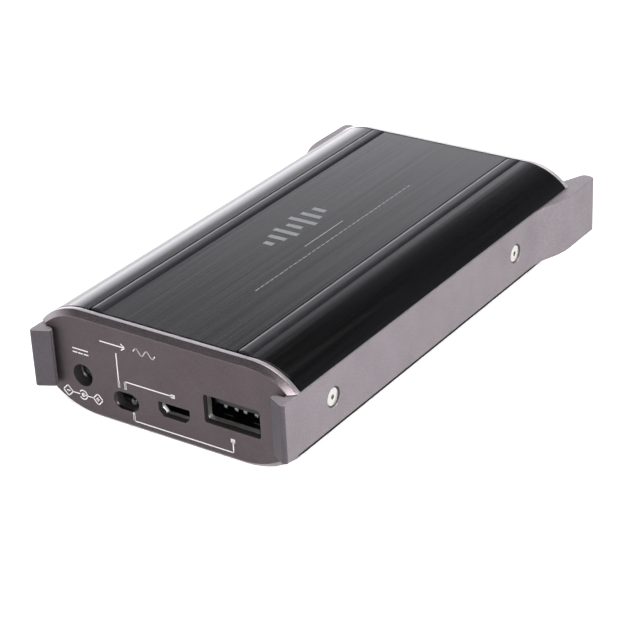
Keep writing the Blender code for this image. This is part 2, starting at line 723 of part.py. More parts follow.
def make_grip_strip(name, side, top):
    """Round-edged strip in its groove, a little proud of the surface around it."""
    if top:
        middle = TOP_STRIP_X
        crown, foot = BODY_TOP + STRIP_PROUD, BODY_TOP - STRIP_GROOVE_DEPTH + GAP
    else:
        middle = BOTTOM_STRIP_X
        crown, foot = BODY_BOTTOM - STRIP_PROUD, BODY_BOTTOM + STRIP_GROOVE_DEPTH - GAP
    way = 1 if top else -1
    corner = (STRIP_WIDTH / 2 - STRIP_ROUNDING, crown - way * STRIP_ROUNDING)
    half = arc(corner, STRIP_ROUNDING, way * 90, 0, CORNER_STEPS)
    half.append((STRIP_WIDTH / 2, foot))
    strip = slab(name, [both_sides(half)], "Y", SLEEVE_FRONT_Y + STRIP_END_GAP,
                 SLEEVE_REAR_Y - STRIP_END_GAP, "rubber", None, (side * middle, 0.0))
    shade_round(strip)


# --------------------------------------------------------------- socket pieces

def make_tongue(name, socket, end_y, base, blade):
    """Plastic base at a USB socket's end, with the blade that carries the contacts.

    base is half width, start, end and half height; blade is half width, start,
    distance from the mouth, lower face and upper face.
    """
    x, z = socket
    half, start, end, half_height = base
    tongue = block(name, (x - half, end_y + start, z - half_height), (x + half, end_y + end, z + half_height),
                   "black_plastic")
    half, start, set_back, low, high = blade
    add(tongue, block(f"{name}_blade", (x - half, end_y + start, z + low),
                      (x + half, USB_MOUTH_Y - set_back, z + high), None, CUTTERS))


def make_usb_a():
    end_y = USB_MOUTH_Y - USB_A_DEPTH
    outer = rounded_rectangle(USB_A, *USB_A_SHELL, USB_A_SHELL_CORNER)
    inner = rounded_rectangle(USB_A, *USB_A_OPENING, USB_A_OPENING_CORNER)
    shell = slab("usb_a_shell", [outer, inner], "Y", end_y, USB_MOUTH_Y, "contact_metal")
    shade_round(shell)
    make_tongue("usb_a_tongue", USB_A, end_y, USB_A_BASE, USB_A_BLADE)


def make_micro_usb():
    end_y = USB_MOUTH_Y - MICRO_USB_DEPTH
    outer = micro_usb_outline(MICRO_USB, *MICRO_USB_SHELL, MICRO_USB_SHELL_CORNER)
    inner = micro_usb_outline(MICRO_USB, *MICRO_USB_OPENING, MICRO_USB_OPENING_CORNER)
    slab("micro_usb_shell", [outer, inner], "Y", end_y, USB_MOUTH_Y, "contact_metal")
    make_tongue("micro_usb_tongue", MICRO_USB, end_y, MICRO_USB_BASE, MICRO_USB_BLADE)


def make_dc_jack():
    """Body with a deep bore, and the pin that stands in its middle."""
    mouth_y = REAR_PANEL_BACK_Y - GAP
    x, z = DC_JACK
    width, length = DC_JACK_SIZE
    body = block("dc_jack", (x - width / 2, mouth_y - length, PART_SEAT),
                 (x + width / 2, mouth_y, z + DC_JACK_ABOVE), "black_plastic")
    cut(body, rod("dc_bore", DC_BORE_RADIUS, "Y", mouth_y - DC_BORE_DEPTH, mouth_y + 1, DC_JACK,
                  None, CUTTERS))
    pin_root = mouth_y - DC_PIN_SINK - DC_PIN_LENGTH
    cut(body, rod("dc_pin_root", DC_PIN_RADIUS + GAP, "Y", pin_root - GAP, pin_root + 2, DC_JACK,
                  None, CUTTERS, 16))
    profile = [(0.0, 0.0), (DC_PIN_NOSE, -DC_PIN_CROWN), (DC_PIN_RADIUS, -DC_PIN_NOSE),
               (DC_PIN_RADIUS, -DC_PIN_LENGTH), (0.0, -DC_PIN_LENGTH)]
    turned("dc_jack_pin", profile, (x, mouth_y - DC_PIN_SINK, z), (math.radians(-90), 0.0, 0.0),
           "contact_metal", 16)


def make_audio_jack(name, centre):
    """3.5 mm socket: a block on the board with a round nose in the control panel."""
    x, z = centre
    back_y = FRONT_PANEL_BACK_Y + GAP
    width, length = JACK_BODY
    body = block(name, (x - width / 2, back_y, PART_SEAT),
                 (x + width / 2, back_y + length, z + JACK_BODY_ABOVE), "black_plastic")
    add(body, rod(f"{name}_nose", JACK_NOSE_RADIUS, "Y", FRONT_FACE_Y - JACK_NOSE_REACH, back_y + 1,
                  centre, None, CUTTERS, 28))
    cut(body, rod(f"{name}_bore", JACK_BORE_RADIUS, "Y", FRONT_FACE_Y - 2, back_y + JACK_BORE_DEPTH,
                  centre, None, CUTTERS))


# ---------------------------------------------------------------- control pieces

def make_slide_switch(prefix, centre, travel, panel_back_y, face_y, side, start):
    """Slide switch on the board, its skirt over the board's edge.

    start is the nub's rest offset from the slot's middle.
    """
    x, z = centre
    front = panel_back_y - side * GAP
    pocket_half = (SLIDER_WIDTH + travel) / 2 + GAP
    low, high = sorted((front, front - side * SWITCH_DEPTH))
    body = block(f"{prefix}_switch", (x - pocket_half - SWITCH_WALL, low, PART_SEAT),
                 (x + pocket_half + SWITCH_WALL, high, z + SWITCH_ABOVE), "black_plastic")
    skirt_depth, skirt_drop = SWITCH_SKIRT
    low, high = sorted((front, front - side * skirt_depth))
    add(body, block(f"{prefix}_skirt", (x - pocket_half, low, PART_SEAT - skirt_drop),
                    (x + pocket_half, high, z + POCKET_Z[0] - GAP), None, CUTTERS))
    low, high = sorted((front + side, front - side * POCKET_DEPTH))
    cut(body, block(f"{prefix}_pocket", (x - pocket_half, low, z + POCKET_Z[0]),
                    (x + pocket_half, high, z + POCKET_Z[1]), None, CUTTERS))
    nub_x = x + start
    low, high = sorted((front - side * GAP, front - side * (POCKET_DEPTH - GAP)))
    slider = block(f"{prefix}_slider", (nub_x - SLIDER_WIDTH / 2, low, z + SLIDER_Z[0]),
                   (nub_x + SLIDER_WIDTH / 2, high, z + SLIDER_Z[1]), "black_plastic")
    tip_y = face_y - side * NUB_SINK
    low, high = sorted((front - side * NUB_STEM_ROOT, panel_back_y + side * NUB_STEM_LAP))
    add(slider, rod(f"{prefix}_stem", NUB_STEM_RADIUS, "Y", low, high, (nub_x, z), None, CUTTERS, 20))
    low, high = sorted((panel_back_y, tip_y))
    nub = rod(f"{prefix}_nub", NUB_RADIUS, "Y", low, high, (nub_x, z), None, CUTTERS, 20)
    chamfer_end(nub, side, NUB_SINK)
    add(slider, nub)


def make_volume_control():
    """Potentiometer on the board, its bushing through the panel, shaft, nut and knob."""
    x, z = KNOB
    width, length = POT_SIZE
    body_front = FRONT_PANEL_BACK_Y + GAP + POT_SET_BACK
    pot = block("potentiometer", (x - width / 2, body_front, PART_SEAT),
                (x + width / 2, body_front + length, z + POT_ABOVE), "steel")
    add(pot, rod("pot_bushing", POT_BUSHING_RADIUS, "Y", FRONT_FACE_Y - POT_BUSHING_REACH, body_front + 1,
                 KNOB, None, CUTTERS, 28))
    cut(pot, rod("pot_bore", SHAFT_RADIUS + GAP, "Y", FRONT_FACE_Y - CUT_MARGIN,
                 body_front + POT_BORE_DEPTH, KNOB, None, CUTTERS))
    nut = rod("potentiometer_nut", NUT_RADIUS, "Y", FRONT_FACE_Y - GAP - NUT_THICKNESS, FRONT_FACE_Y - GAP,
              KNOB, "steel", None, 6)
    round_hole(nut, "nut_bore", POT_BUSHING_RADIUS + GAP, KNOB, FRONT_FACE_Y, 28)
    rod("knob_shaft", SHAFT_RADIUS, "Y", KNOB_FRONT_Y + KNOB_BORE_FLOOR + GAP,
        body_front + POT_BORE_DEPTH - GAP, KNOB, "steel")
    top = KNOB_LENGTH
    dish_radius, dish_depth = KNOB_DISH
    recess_radius, recess_depth = KNOB_RECESS
    profile = [
        (0.0, top - dish_depth), (dish_radius, top - dish_depth), (dish_radius + KNOB_EDGE, top),
        (KNOB_RADIUS - KNOB_EDGE, top), (KNOB_RADIUS, top - KNOB_EDGE), (KNOB_RADIUS, KNOB_EDGE),
        (KNOB_RADIUS - KNOB_EDGE, 0.0), (recess_radius, 0.0), (recess_radius, recess_depth),
        (KNOB_BORE_RADIUS, recess_depth), (KNOB_BORE_RADIUS, top - KNOB_BORE_FLOOR),
        (0.0, top - KNOB_BORE_FLOOR),
    ]
    turned("volume_knob", profile, (x, KNOB_BACK_Y, z), (math.radians(90), 0.0, 0.0), "knob_metal", 48)


def make_light_pipes():
    for name, at in LIGHT_PIPES.items():
        rod(name, LIGHT_PIPE_RADIUS, "Y", FRONT_FACE_Y - LIGHT_PIPE_PROUD,
            FRONT_PANEL_BACK_Y + LIGHT_PIPE_REACH, at, "light_guide", None, 16)


# --------------------------------------------------------------- inside pieces

def make_board():
    low = (-BOARD_HALF_WIDTH, SLEEVE_FRONT_Y + BOARD_END_GAP, BOARD_BOTTOM)
    high = (BOARD_HALF_WIDTH, SLEEVE_REAR_Y - BOARD_END_GAP, BOARD_TOP)
    block("main_board", low, high, "board_green")


def make_battery_shelf(half_width, half_length):
    side, end = SHELF_MARGIN
    shelf = block("battery_shelf", (-half_width - side, BATTERY_Y - half_length - end, SHELF_BOTTOM),
                  (half_width + side, BATTERY_Y + half_length + end, SHELF_BOTTOM + SHELF_THICKNESS),
                  "black_plastic")
    for sx in (-1, 1):
        for sy in (-1, 1):
            leg_x = sx * (half_width - SHELF_LEG_INSET[0])
            leg_y = BATTERY_Y + sy * (half_length - SHELF_LEG_INSET[1])
            leg = block(f"shelf_leg_{sx}_{sy}", (leg_x - SHELF_LEG_HALF, leg_y - SHELF_LEG_HALF, PART_SEAT),
                        (leg_x + SHELF_LEG_HALF, leg_y + SHELF_LEG_HALF, SHELF_BOTTOM + SHELF_LEG_OVERLAP),
                        None, CUTTERS)
            add(shelf, leg)


def make_battery_lead(name, x, finish, connector, connector_y, exit_y):
    """Lead from the cell's end, bent down into its hole in the connector."""
    top = PART_SEAT + CONNECTOR_SIZE[2]
    radius, depth = LEAD_HOLE
    cut(connector, rod(f"{name}_socket", radius, "Z", top - depth, top + 1, (x, connector_y),
                       None, CUTTERS, 12))
    level = (BATTERY_BOTTOM + BATTERY_TOP) / 2
    reach, drop = LEAD_BEND
    turn = [(x, connector_y + reach * (1 + math.cos(angle)), level - drop * (1 - math.sin(angle)))
            for angle in [math.radians(90 + 18 * step) for step in range(6)]]
    tube(name, [(x, exit_y, level)] + turn + [(x, connector_y, top - LEAD_SEAT)], LEAD_RADIUS, finish)


def make_battery():
    width, length, height = BATTERY_SIZE
    half_width, half_length = width / 2, length / 2
    make_battery_shelf(half_width, half_length)
    cell = block("battery_cell", (-half_width, BATTERY_Y - half_length, BATTERY_BOTTOM),
                 (half_width, BATTERY_Y + half_length, BATTERY_TOP), "cell_wrap")
    soften(cell, BATTERY_ROUNDING, 2)
    pad_x, pad_y = PAD_HALF_SIZE
    block("battery_pad", (-pad_x, BATTERY_Y - pad_y, BATTERY_TOP + GAP),
          (pad_x, BATTERY_Y + pad_y, BODY_TOP - WALL - GAP), "foam")
    connector_y = BATTERY_Y - half_length - CONNECTOR_DISTANCE
    half_x, half_y = CONNECTOR_SIZE[0] / 2, CONNECTOR_SIZE[1] / 2
    connector = block("battery_connector", (-half_x, connector_y - half_y, PART_SEAT),
                      (half_x, connector_y + half_y, PART_SEAT + CONNECTOR_SIZE[2]), "light_guide")
    exit_y = BATTERY_Y - half_length - GAP
    make_battery_lead("battery_lead_positive", LEAD_X, "lead_red", connector, connector_y, exit_y)
    make_battery_lead("battery_lead_negative", -LEAD_X, "lead_black", connector, connector_y, exit_y)


def make_board_parts():
    for name, (x, y), (width, length, height), finish in CHIPS:
        block(name, (x - width / 2, y - length / 2, PART_SEAT),
              (x + width / 2, y + length / 2, PART_SEAT + height), finish)
    for index in range(4):
        at = (CAPACITOR_START[0] + CAPACITOR_PITCH[0] * (index % 2),
              CAPACITOR_START[1] - CAPACITOR_PITCH[1] * (index // 2))
        can = rod(f"output_capacitor_{index + 1}", CAPACITOR_RADIUS, "Z", PART_SEAT,
                  PART_SEAT + CAPACITOR_HEIGHT, at, "steel")
        soften(can, CAPACITOR_ROUNDING)
    shield_top = PART_SEAT + SHIELD_HEIGHT
    shield = block("shield_can", (*SHIELD_LOW, PART_SEAT), (*SHIELD_HIGH, shield_top), "steel")
    low = [value + SHIELD_WALL for value in SHIELD_LOW]
    high = [value - SHIELD_WALL for value in SHIELD_HIGH]
    cut(shield, block("shield_hollow", (*low, PART_SEAT - 1), (*high, shield_top - SHIELD_WALL),
                      None, CUTTERS))


# -------------------------------------------------------------------- assembly

def build():
    make_sleeve()
    make_rear_panel()
    make_front_panel()
    for name, side in (("left", -1), ("right", 1)):
        make_side_plate(f"{name}_side_plate", side)
        for end, screw_y in zip(("rear", "front"), SCREW_Y):
            make_plate_screw(f"{name}_{end}_screw", side, screw_y)
        make_grip_strip(f"top_strip_{name}", side, True)
        make_grip_strip(f"bottom_strip_{name}", side, False)
    make_usb_a()
    make_micro_usb()
    make_dc_jack()
    make_audio_jack("phones_jack", PHONES_JACK)
    make_audio_jack("input_jack", INPUT_JACK)
    make_slide_switch("selector", SELECTOR, SELECTOR_TRAVEL, REAR_PANEL_BACK_Y, REAR_FACE_Y, 1,
                      -SELECTOR_TRAVEL / 2)
    make_slide_switch("gain", GAIN, GAIN_TRAVEL, FRONT_PANEL_BACK_Y, FRONT_FACE_Y, -1,
                      -GAIN_TRAVEL / 2)
    make_volume_control()
    make_light_pipes()
    make_board()
    make_battery()
    make_board_parts()


build()
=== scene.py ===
"""Looks for the pocket headphone amplifier and DAC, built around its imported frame.

The socket panel faces +Y, the control panel faces -Y, +Z is up. Dimensions below
are millimetres unless a name says otherwise; MM turns them into metres.
"""
import math
from functools import partial

import bmesh
import bpy
from mathutils import Matrix, Vector
from mathutils.geometry import delaunay_2d_cdt


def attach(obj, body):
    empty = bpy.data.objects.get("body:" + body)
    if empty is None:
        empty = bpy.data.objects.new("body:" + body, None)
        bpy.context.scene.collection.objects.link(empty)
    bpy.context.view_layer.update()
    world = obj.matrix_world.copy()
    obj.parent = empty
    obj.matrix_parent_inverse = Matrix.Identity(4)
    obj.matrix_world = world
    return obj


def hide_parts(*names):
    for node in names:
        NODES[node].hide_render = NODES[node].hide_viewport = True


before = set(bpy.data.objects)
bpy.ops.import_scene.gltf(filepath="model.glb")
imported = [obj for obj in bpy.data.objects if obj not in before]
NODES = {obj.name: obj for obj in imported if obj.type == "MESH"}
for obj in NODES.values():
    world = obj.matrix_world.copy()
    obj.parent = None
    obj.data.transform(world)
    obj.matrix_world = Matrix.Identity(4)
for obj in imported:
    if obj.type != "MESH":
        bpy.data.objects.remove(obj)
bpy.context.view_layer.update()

MM = 0.001

# Body section, repeated from the CAD
BODY_BOTTOM = 0.25
BODY_TOP = 22.45
BODY_HALF_WIDTH = 29.5
SHOULDER_RADIUS = 13.0
SHOULDER_CENTRE_X = 19.9
LOWER_SHOULDER_RADIUS = 17.2
LOWER_SHOULDER_CENTRE_X = 17.1
WALL = 2.1
SIDE_WALL_INNER_X = 25.4
TOP_STRIP_X = 17.1
BOTTOM_STRIP_X = 14.5
STRIP_HALF = 1.48
STRIP_DOME = 0.6
STRIP_SQUARENESS = 2.7
STRIP_PROUD = 0.25
STRIP_LIFT = 0.3               # gap under a strip
STRIP_END_GAP = 0.4
STRIP_END_ROUNDING = 0.3
GROOVE_DEPTH = 1.0
GROOVE_HALF = 1.55
GROOVE_EASE = 0.1
LIP_RADIUS = 0.22
LIP_DROP = 0.05
RAIL_X = 23.2
RAIL_TOP = 5.9
RAIL_FOOT_X = 22.9
BOARD_SLOT = (3.0, 5.0)
BOARD_SLOT_X = 24.2
FOOT_Z = 5.0                   # underside of what stands over the board
CAVITY_FLOOR_X = 19.0
PLATE_BOTTOM = 5.85
PLATE_TOP = 17.95
PLATE_OUTER_X = 29.45
PLATE_INNER_X = 27.65
PLATE_EDGE = 0.22
PLATE_GAP = 0.3                # between the plates and the end panels
HOOK_ROUNDING = 0.7
HOOK_NOSE = ((26.6, 56.35), (25.42, 55.25), (25.42, 54.55), (26.2, 54.05), (27.0, 54.0))
HORN_ROOT_X = 26.4
HORN_TIP_X = 28.7
HORN_ROUNDING = 1.4
FLARE_X = 32.1
FLARE_START_Y = -35.8
FLARE_END_Y = -42.7
FLARE_BEND = 3.0
CHANNEL_X = 27.35
CHANNEL_TOP = 18.15
CHANNEL_BOTTOM = 5.65

# Lengthwise stations
REAR_TIP_Y = 57.0
FRONT_TIP_Y = -57.0
REAR_FACE_Y = 53.7
FRONT_FACE_Y = -50.3
PANEL_THICKNESS = 2.1
PANEL_CHAMFER = 1.1
PANEL_EASE = 0.12              # rounding along the panel's edges
PANEL_GAP = 0.3                # behind the panel
NEAR_WALL = 0.1
FLARE_REACH = 4.0
SLEEVE_REAR_Y = 51.3
SLEEVE_FRONT_Y = -47.9
SLEEVE_EDGE = 0.12

# Screws
SCREW_Y = (41.2, -26.6)
SCREW_Z = 11.93
SCREW_HEAD_RADIUS = 1.8
SCREW_SEAT_RADIUS = 2.05
SCREW_SEAT_DEPTH = 0.9
SCREW_HOLE_RADIUS = 1.3
SCREW_SHANK_RADIUS = 1.0
SCREW_LENGTH = 4.05

# Panel layouts (X, Z)
USB_A = (-15.35, 10.1)
MICRO_USB = (-1.9, 7.0)
DC_JACK = (19.8, 9.0)
SELECTOR = (9.5, 6.15)
KNOB = (14.5, 11.3)
KNOB_START = -150.0           # low end of the knob's turn, in degrees from upright
PHONES_JACK = (-18.2, 9.0)
INPUT_JACK = (-7.2, 9.0)
GAIN = (2.2, 9.0)
LIGHT_PIPES = ((5.0, 15.2), (-0.6, 15.2))
SLOT_HEIGHT = 3.0
SLOT_FLARE = 0.4
SLOT_PLAY = 0.6

# Sockets: openings, cans and the space in them as (width, height, corner)
USB_A_OPENING = (12.6, 5.8, 0.45)
USB_A_CAN = (13.3, 6.0, 0.6)
USB_A_INSIDE = (12.5, 5.2, 0.35)
USB_A_DEPTH = 14.0
MICRO_OPENING = (7.25, 2.9, 1.1)
MICRO_CAN = (8.0, 3.3, 1.2)
MICRO_INSIDE = (7.3, 2.6, 1.0)
MICRO_DEPTH = 5.6
USB_MOUTH_Y = 52.2
USB_POCKET_DEPTH = 0.9
USB_POCKET_MARGIN = 0.65
DC_OPENING_RADIUS = 2.3
DC_BORE_RADIUS = 2.2
DC_PIN_RADIUS = 0.85

# Controls
SELECTOR_TRAVEL = 2.7
GAIN_TRAVEL = 2.0
SLIDER_HALF = 2.0
NUB_RADIUS = 0.95
NUB_STEM_RADIUS = 0.6
NUB_SUNK = 0.35                # tip of a nub below the panel's face
KNOB_RADIUS = 6.25
KNOB_LENGTH = 5.9
KNOB_BACK_Y = -50.8
KNOB_FLUTES = 72
KNOB_TURN = 300.0
SHAFT_HOLE_RADIUS = 3.6
JACK_HOLE_RADIUS = 3.2
JACK_NOSE_RADIUS = 2.9
JACK_NOSE_LENGTH = 2.65
JACK_BORE_RADIUS = 1.8
PIPE_HOLE_RADIUS = 1.05

# Finish slots on an end panel
FACE_SLOT, RIM_SLOT, HOLE_SLOT, FLARE_SLOT, CHAMFER_SLOT = range(5)


# ---- materials

class Nodes:
    """A small helper that adds and joins the shader nodes of a material or a world."""

    def __init__(self, owner, shader="Principled BSDF"):
        owner.use_nodes = True
        self.tree = owner.node_tree
        self.shader = self.tree.nodes[shader]

    def add(self, kind, **settings):
        node = self.tree.nodes.new(kind)
        for name, value in settings.items():
            setattr(node, name, value)
        return node

    def join(self, source, target):
        self.tree.links.new(source, target)

    def place(self, scale):
        """Object coordinates, in metres, scaled along each axis."""
        where = self.add("ShaderNodeTexCoord")
        mapping = self.add("ShaderNodeMapping")
        mapping.inputs["Scale"].default_value = scale
        self.join(where.outputs["Object"], mapping.inputs["Vector"])
        return mapping.outputs["Vector"]

    def noise(self, scale, detail=3.0, roughness=0.55):
        noise = self.add("ShaderNodeTexNoise")
        noise.inputs["Scale"].default_value = 1.0
        noise.inputs["Detail"].default_value = detail
        noise.inputs["Roughness"].default_value = roughness
        self.join(self.place(scale), noise.inputs["Vector"])
        return noise.outputs["Fac"]

    def remap(self, value, low, high, source=(0.3, 0.7)):
        span = self.add("ShaderNodeMapRange")
        span.inputs["From Min"].default_value = source[0]
        span.inputs["From Max"].default_value = source[1]
        span.inputs["To Min"].default_value = low
        span.inputs["To Max"].default_value = high
        self.join(value, span.inputs["Value"])
        return span.outputs["Result"]

    def mix_sum(self, first, second, share):
        mix = self.add("ShaderNodeMix")
        mix.inputs["Factor"].default_value = share
        self.join(first, mix.inputs["A"])
        self.join(second, mix.inputs["B"])
        return mix.outputs["Result"]

    def tint(self, colour, value, low, high, source=(0.3, 0.7)):
        """Base colour varied in brightness by a texture value."""
        scale = self.add("ShaderNodeVectorMath", operation="SCALE")
        scale.inputs[0].default_value = colour
        self.join(self.remap(value, low, high, source), scale.inputs["Scale"])
        self.join(scale.outputs["Vector"], self.shader.inputs["Base Color"])

    def rough(self, value, low, high, source=(0.3, 0.7)):
        self.join(self.remap(value, low, high, source), self.shader.inputs["Roughness"])

    def bump(self, value, height_mm, strength=1.0):
        bump = self.add("ShaderNodeBump")
        bump.inputs["Strength"].default_value = strength
        bump.inputs["Distance"].default_value = height_mm * MM
        self.join(value, bump.inputs["Height"])
        self.join(bump.outputs["Normal"], self.shader.inputs["Normal"])


def finish_of(name, metallic, specular=0.5):
    material = bpy.data.materials.new(name)
    nodes = Nodes(material)
    nodes.shader.inputs["Metallic"].default_value = metallic
    nodes.shader.inputs["Specular IOR Level"].default_value = specular
    return material, nodes


def make_brushed_black():
    """Black anodised extrusion with fine brushing along its length."""
    material, n = finish_of("sleeve_black", 0.0, 0.5)
    n.shader.inputs["IOR"].default_value = 1.55
    fine = n.noise((5200.0, 22.0, 5200.0), 2.0)
    broad = n.noise((1300.0, 7.0, 1300.0), 3.0)
    grain = n.mix_sum(fine, broad, 0.5)
    n.join(n.remap(grain, 0.44, 0.54, (0.35, 0.65)), n.shader.inputs["Specular IOR Level"])
    n.tint((0.0044, 0.0043, 0.0048), grain, 0.70, 1.4)
    n.rough(grain, 0.14, 0.25)
    n.bump(grain, 0.010, 0.8)
    return material


def make_blasted(name, colour, rough, grain_mm=0.24, metallic=0.9):
    """Bead-blasted anodised aluminium: tiny even dimples that sparkle a little."""
    material, n = finish_of(name, metallic)
    fine = 1.0 / (grain_mm * MM)
    dimple = n.noise((fine, fine, fine), 2.0, 0.6)
    cloud = n.noise((160.0, 160.0, 160.0), 3.0)
    n.tint(colour, n.mix_sum(dimple, cloud, 0.2), 0.72, 1.28)
    n.rough(dimple, rough[0], rough[1])
    n.bump(dimple, 0.012, 0.55)
    return material


def make_rubber():
    material, n = finish_of("strip_rubber", 0.0, 0.26)
    grain = n.noise((2200.0, 500.0, 2200.0), 3.0)
    n.tint((0.013, 0.013, 0.016), grain, 0.85, 1.15)
    n.rough(grain, 0.30, 0.42)
    n.bump(grain, 0.006, 0.5)
    return material


def make_metal(name, colour, rough, scale=(700.0, 700.0, 700.0), height=0.004):
    material, n = finish_of(name, 1.0)
    marks = n.noise(scale, 4.0, 0.6)
    n.tint(colour, marks, 0.9, 1.08)
    n.rough(marks, rough[0], rough[1])
    n.bump(marks, height, 0.5)
    return material


def make_plastic(name, colour, rough, scale=1500.0, height=0.006):
    material, n = finish_of(name, 0.0, 0.5)
    pebble = n.noise((scale, scale, scale), 4.0, 0.6)
    n.tint(colour, pebble, 0.88, 1.12)
    n.rough(pebble, rough[0], rough[1])
    n.bump(pebble, height, 0.6)
    return material


def make_light_guide():
    material, n = finish_of("light_guide", 0.0, 0.5)
    cloud = n.noise((1500.0, 1500.0, 1500.0), 3.0)
    n.tint((0.62, 0.66, 0.70), cloud, 0.93, 1.07)
    n.rough(cloud, 0.12, 0.22)
    n.bump(cloud, 0.003, 0.5)
    n.shader.inputs["Subsurface Weight"].default_value = 0.2
    n.shader.inputs["Subsurface Radius"].default_value = (0.001, 0.001, 0.001)
    return material


def make_board_green():
    """Solder mask over copper pours, seen as broad slightly lighter areas."""
    material, n = finish_of("board_laminate", 0.0, 0.5)
    pours = n.noise((260.0, 260.0, 260.0), 0.0)
    fine = n.noise((3000.0, 3000.0, 3000.0), 2.0)
    n.tint((0.012, 0.085, 0.035), pours, 0.8, 1.5, (0.47, 0.53))
    n.rough(fine, 0.25, 0.4)
    n.bump(pours, 0.03, 0.6)
    return material


FINISH = {
    "sleeve": make_brushed_black(),
    # Painted shade: the same anodised finish as the side plates, set darker for the dim light the panels
    # face.
    "panel": make_blasted("panel_gunmetal", (0.085, 0.069, 0.073), (0.48, 0.62)),
    # Painted highlight: the panel rims are bright copies of the panel metal, the far rim brighter still.
    "rim": make_blasted("rim_painted_highlight", (0.50, 0.46, 0.48), (0.38, 0.50), 0.2, 1.0),
    "far_rim": make_blasted("far_rim_painted_highlight", (0.86, 0.82, 0.83), (0.38, 0.50), 0.2, 1.0),
    # Painted shade: the slot flare is set dark; its gloss is its own.
    "flare": make_blasted("slot_flare_painted_shade", (0.040, 0.034, 0.036), (0.26, 0.36), 0.2, 1.0),
    # Painted light: the chamfer is the panel's finish set lighter.
    "chamfer": make_blasted("chamfer_painted_light", (0.17, 0.145, 0.152), (0.34, 0.46), 0.30),
    "hole": make_plastic("hole_shadow", (0.020, 0.017, 0.018), (0.45, 0.6)),
    "plate": make_blasted("plate_gunmetal", (0.197, 0.176, 0.189), (0.54, 0.68), 0.32),
    # Painted light: the plates' upward faces, a lighter copy of their finish.
    "plate_top": make_blasted("plate_top_painted_light", (0.36, 0.325, 0.345), (0.54, 0.68), 0.32),
    # Painted shade: the hook's end faces, a darker copy of the plates' finish.
    "plate_end": make_blasted("plate_end_painted_shade", (0.088, 0.078, 0.086), (0.50, 0.64)),
    "screw": make_metal("screw_steel", (0.52, 0.51, 0.49), (0.20, 0.34)),
    "rubber": make_rubber(),
    "socket": make_metal("socket_metal", (0.50, 0.49, 0.475), (0.34, 0.48), (900.0, 120.0, 900.0)),
    "toe": make_metal("contact_toe", (0.16, 0.165, 0.16), (0.20, 0.34)),
    # Painted shade: the socket metal set dark inside the cans.
    "shade": make_metal("socket_metal_painted_shade", (0.035, 0.036, 0.034), (0.30, 0.44), (900.0, 120.0, 900.0)),
    "gold": make_metal("contact_gold", (0.85, 0.62, 0.28), (0.15, 0.3)),
    "dark": make_plastic("inner_plastic", (0.004, 0.004, 0.0045), (0.45, 0.6)),
    "plastic": make_plastic("black_plastic", (0.012, 0.012, 0.013), (0.22, 0.38)),
    "nub": make_plastic("nub_plastic", (0.010, 0.011, 0.013), (0.08, 0.16), 900.0, 0.002),
    "knob": make_blasted("knob_aluminium", (0.16, 0.138, 0.145), (0.28, 0.40), 0.08),
    "light": make_light_guide(),
    "board": make_board_green(),
    "cell": make_metal("cell_wrap", (0.62, 0.64, 0.66), (0.3, 0.45), (180.0, 180.0, 180.0), 0.05),
    "foam": make_plastic("foam", (0.05, 0.05, 0.05), (0.8, 0.95), 2500.0, 0.05),
    "red": make_plastic("lead_red", (0.5, 0.02, 0.015), (0.35, 0.5)),
    "black": make_plastic("lead_black", (0.01, 0.01, 0.01), (0.35, 0.5)),
    "ink": make_plastic("panel_ink", (0.62, 0.60, 0.61), (0.45, 0.6), 4000.0, 0.002),
    "soft_ink": make_plastic("top_ink", (0.20, 0.21, 0.21), (0.4, 0.55), 4000.0, 0.002),
}


# ---- 2D outlines

def arc(centre, radius, start_deg, end_deg, steps):
    """Points along an arc, both ends included."""
    points = []
    for index in range(steps + 1):
        angle = math.radians(start_deg + (end_deg - start_deg) * index / steps)
        points.append((centre[0] + radius * math.cos(angle), centre[1] + radius * math.sin(angle)))
    return points


def circle(centre, radius, steps=64):
    return arc(centre, radius, 0, 360 - 360 / steps, steps - 1)


def rounded_rectangle(centre, width, height, radius, steps=6):
    dx, dz = width / 2 - radius, height / 2 - radius
    points = []
    for sx, sz, start in ((1, 1, 0), (-1, 1, 90), (-1, -1, 180), (1, -1, 270)):
        corner = (centre[0] + sx * dx, centre[1] + sz * dz)
        points += arc(corner, radius, start, start + 90, steps)
    return points


def stadium(centre, width, height, steps=24):
    radius = height / 2
    dx = width / 2 - radius
    right = arc((centre[0] + dx, centre[1]), radius, -90, 90, steps)
    left = arc((centre[0] - dx, centre[1]), radius, 90, 270, steps)
    return right + left


def rounded(loop, radius, steps=4):
    """Round every corner of a polygon, with a smaller radius where an edge is short."""
    points = []
    count = len(loop)
    for index in range(count):
        before, here, after = (Vector(loop[(index + k) % count]) for k in (-1, 0, 1))
        back, ahead = before - here, after - here
        reach = min(radius, back.length * 0.45, ahead.length * 0.45)
        first, last = here + back.normalized() * reach, here + ahead.normalized() * reach
        for step in range(steps + 1):
            t = step / steps
            points.append(tuple(first * (1 - t) ** 2 + here * 2 * t * (1 - t) + last * t * t))
    return points


def rounded_bends(points, radius, steps=4):
    """Round the bends of an open line, without its two ends."""
    return rounded(points, radius, steps)[steps + 1:-(steps + 1)]


def both_sides(half):
    """Close a right-hand half outline, given from the top down, with its mirror image."""
    return half + [(-x, z) for x, z in reversed(half)]


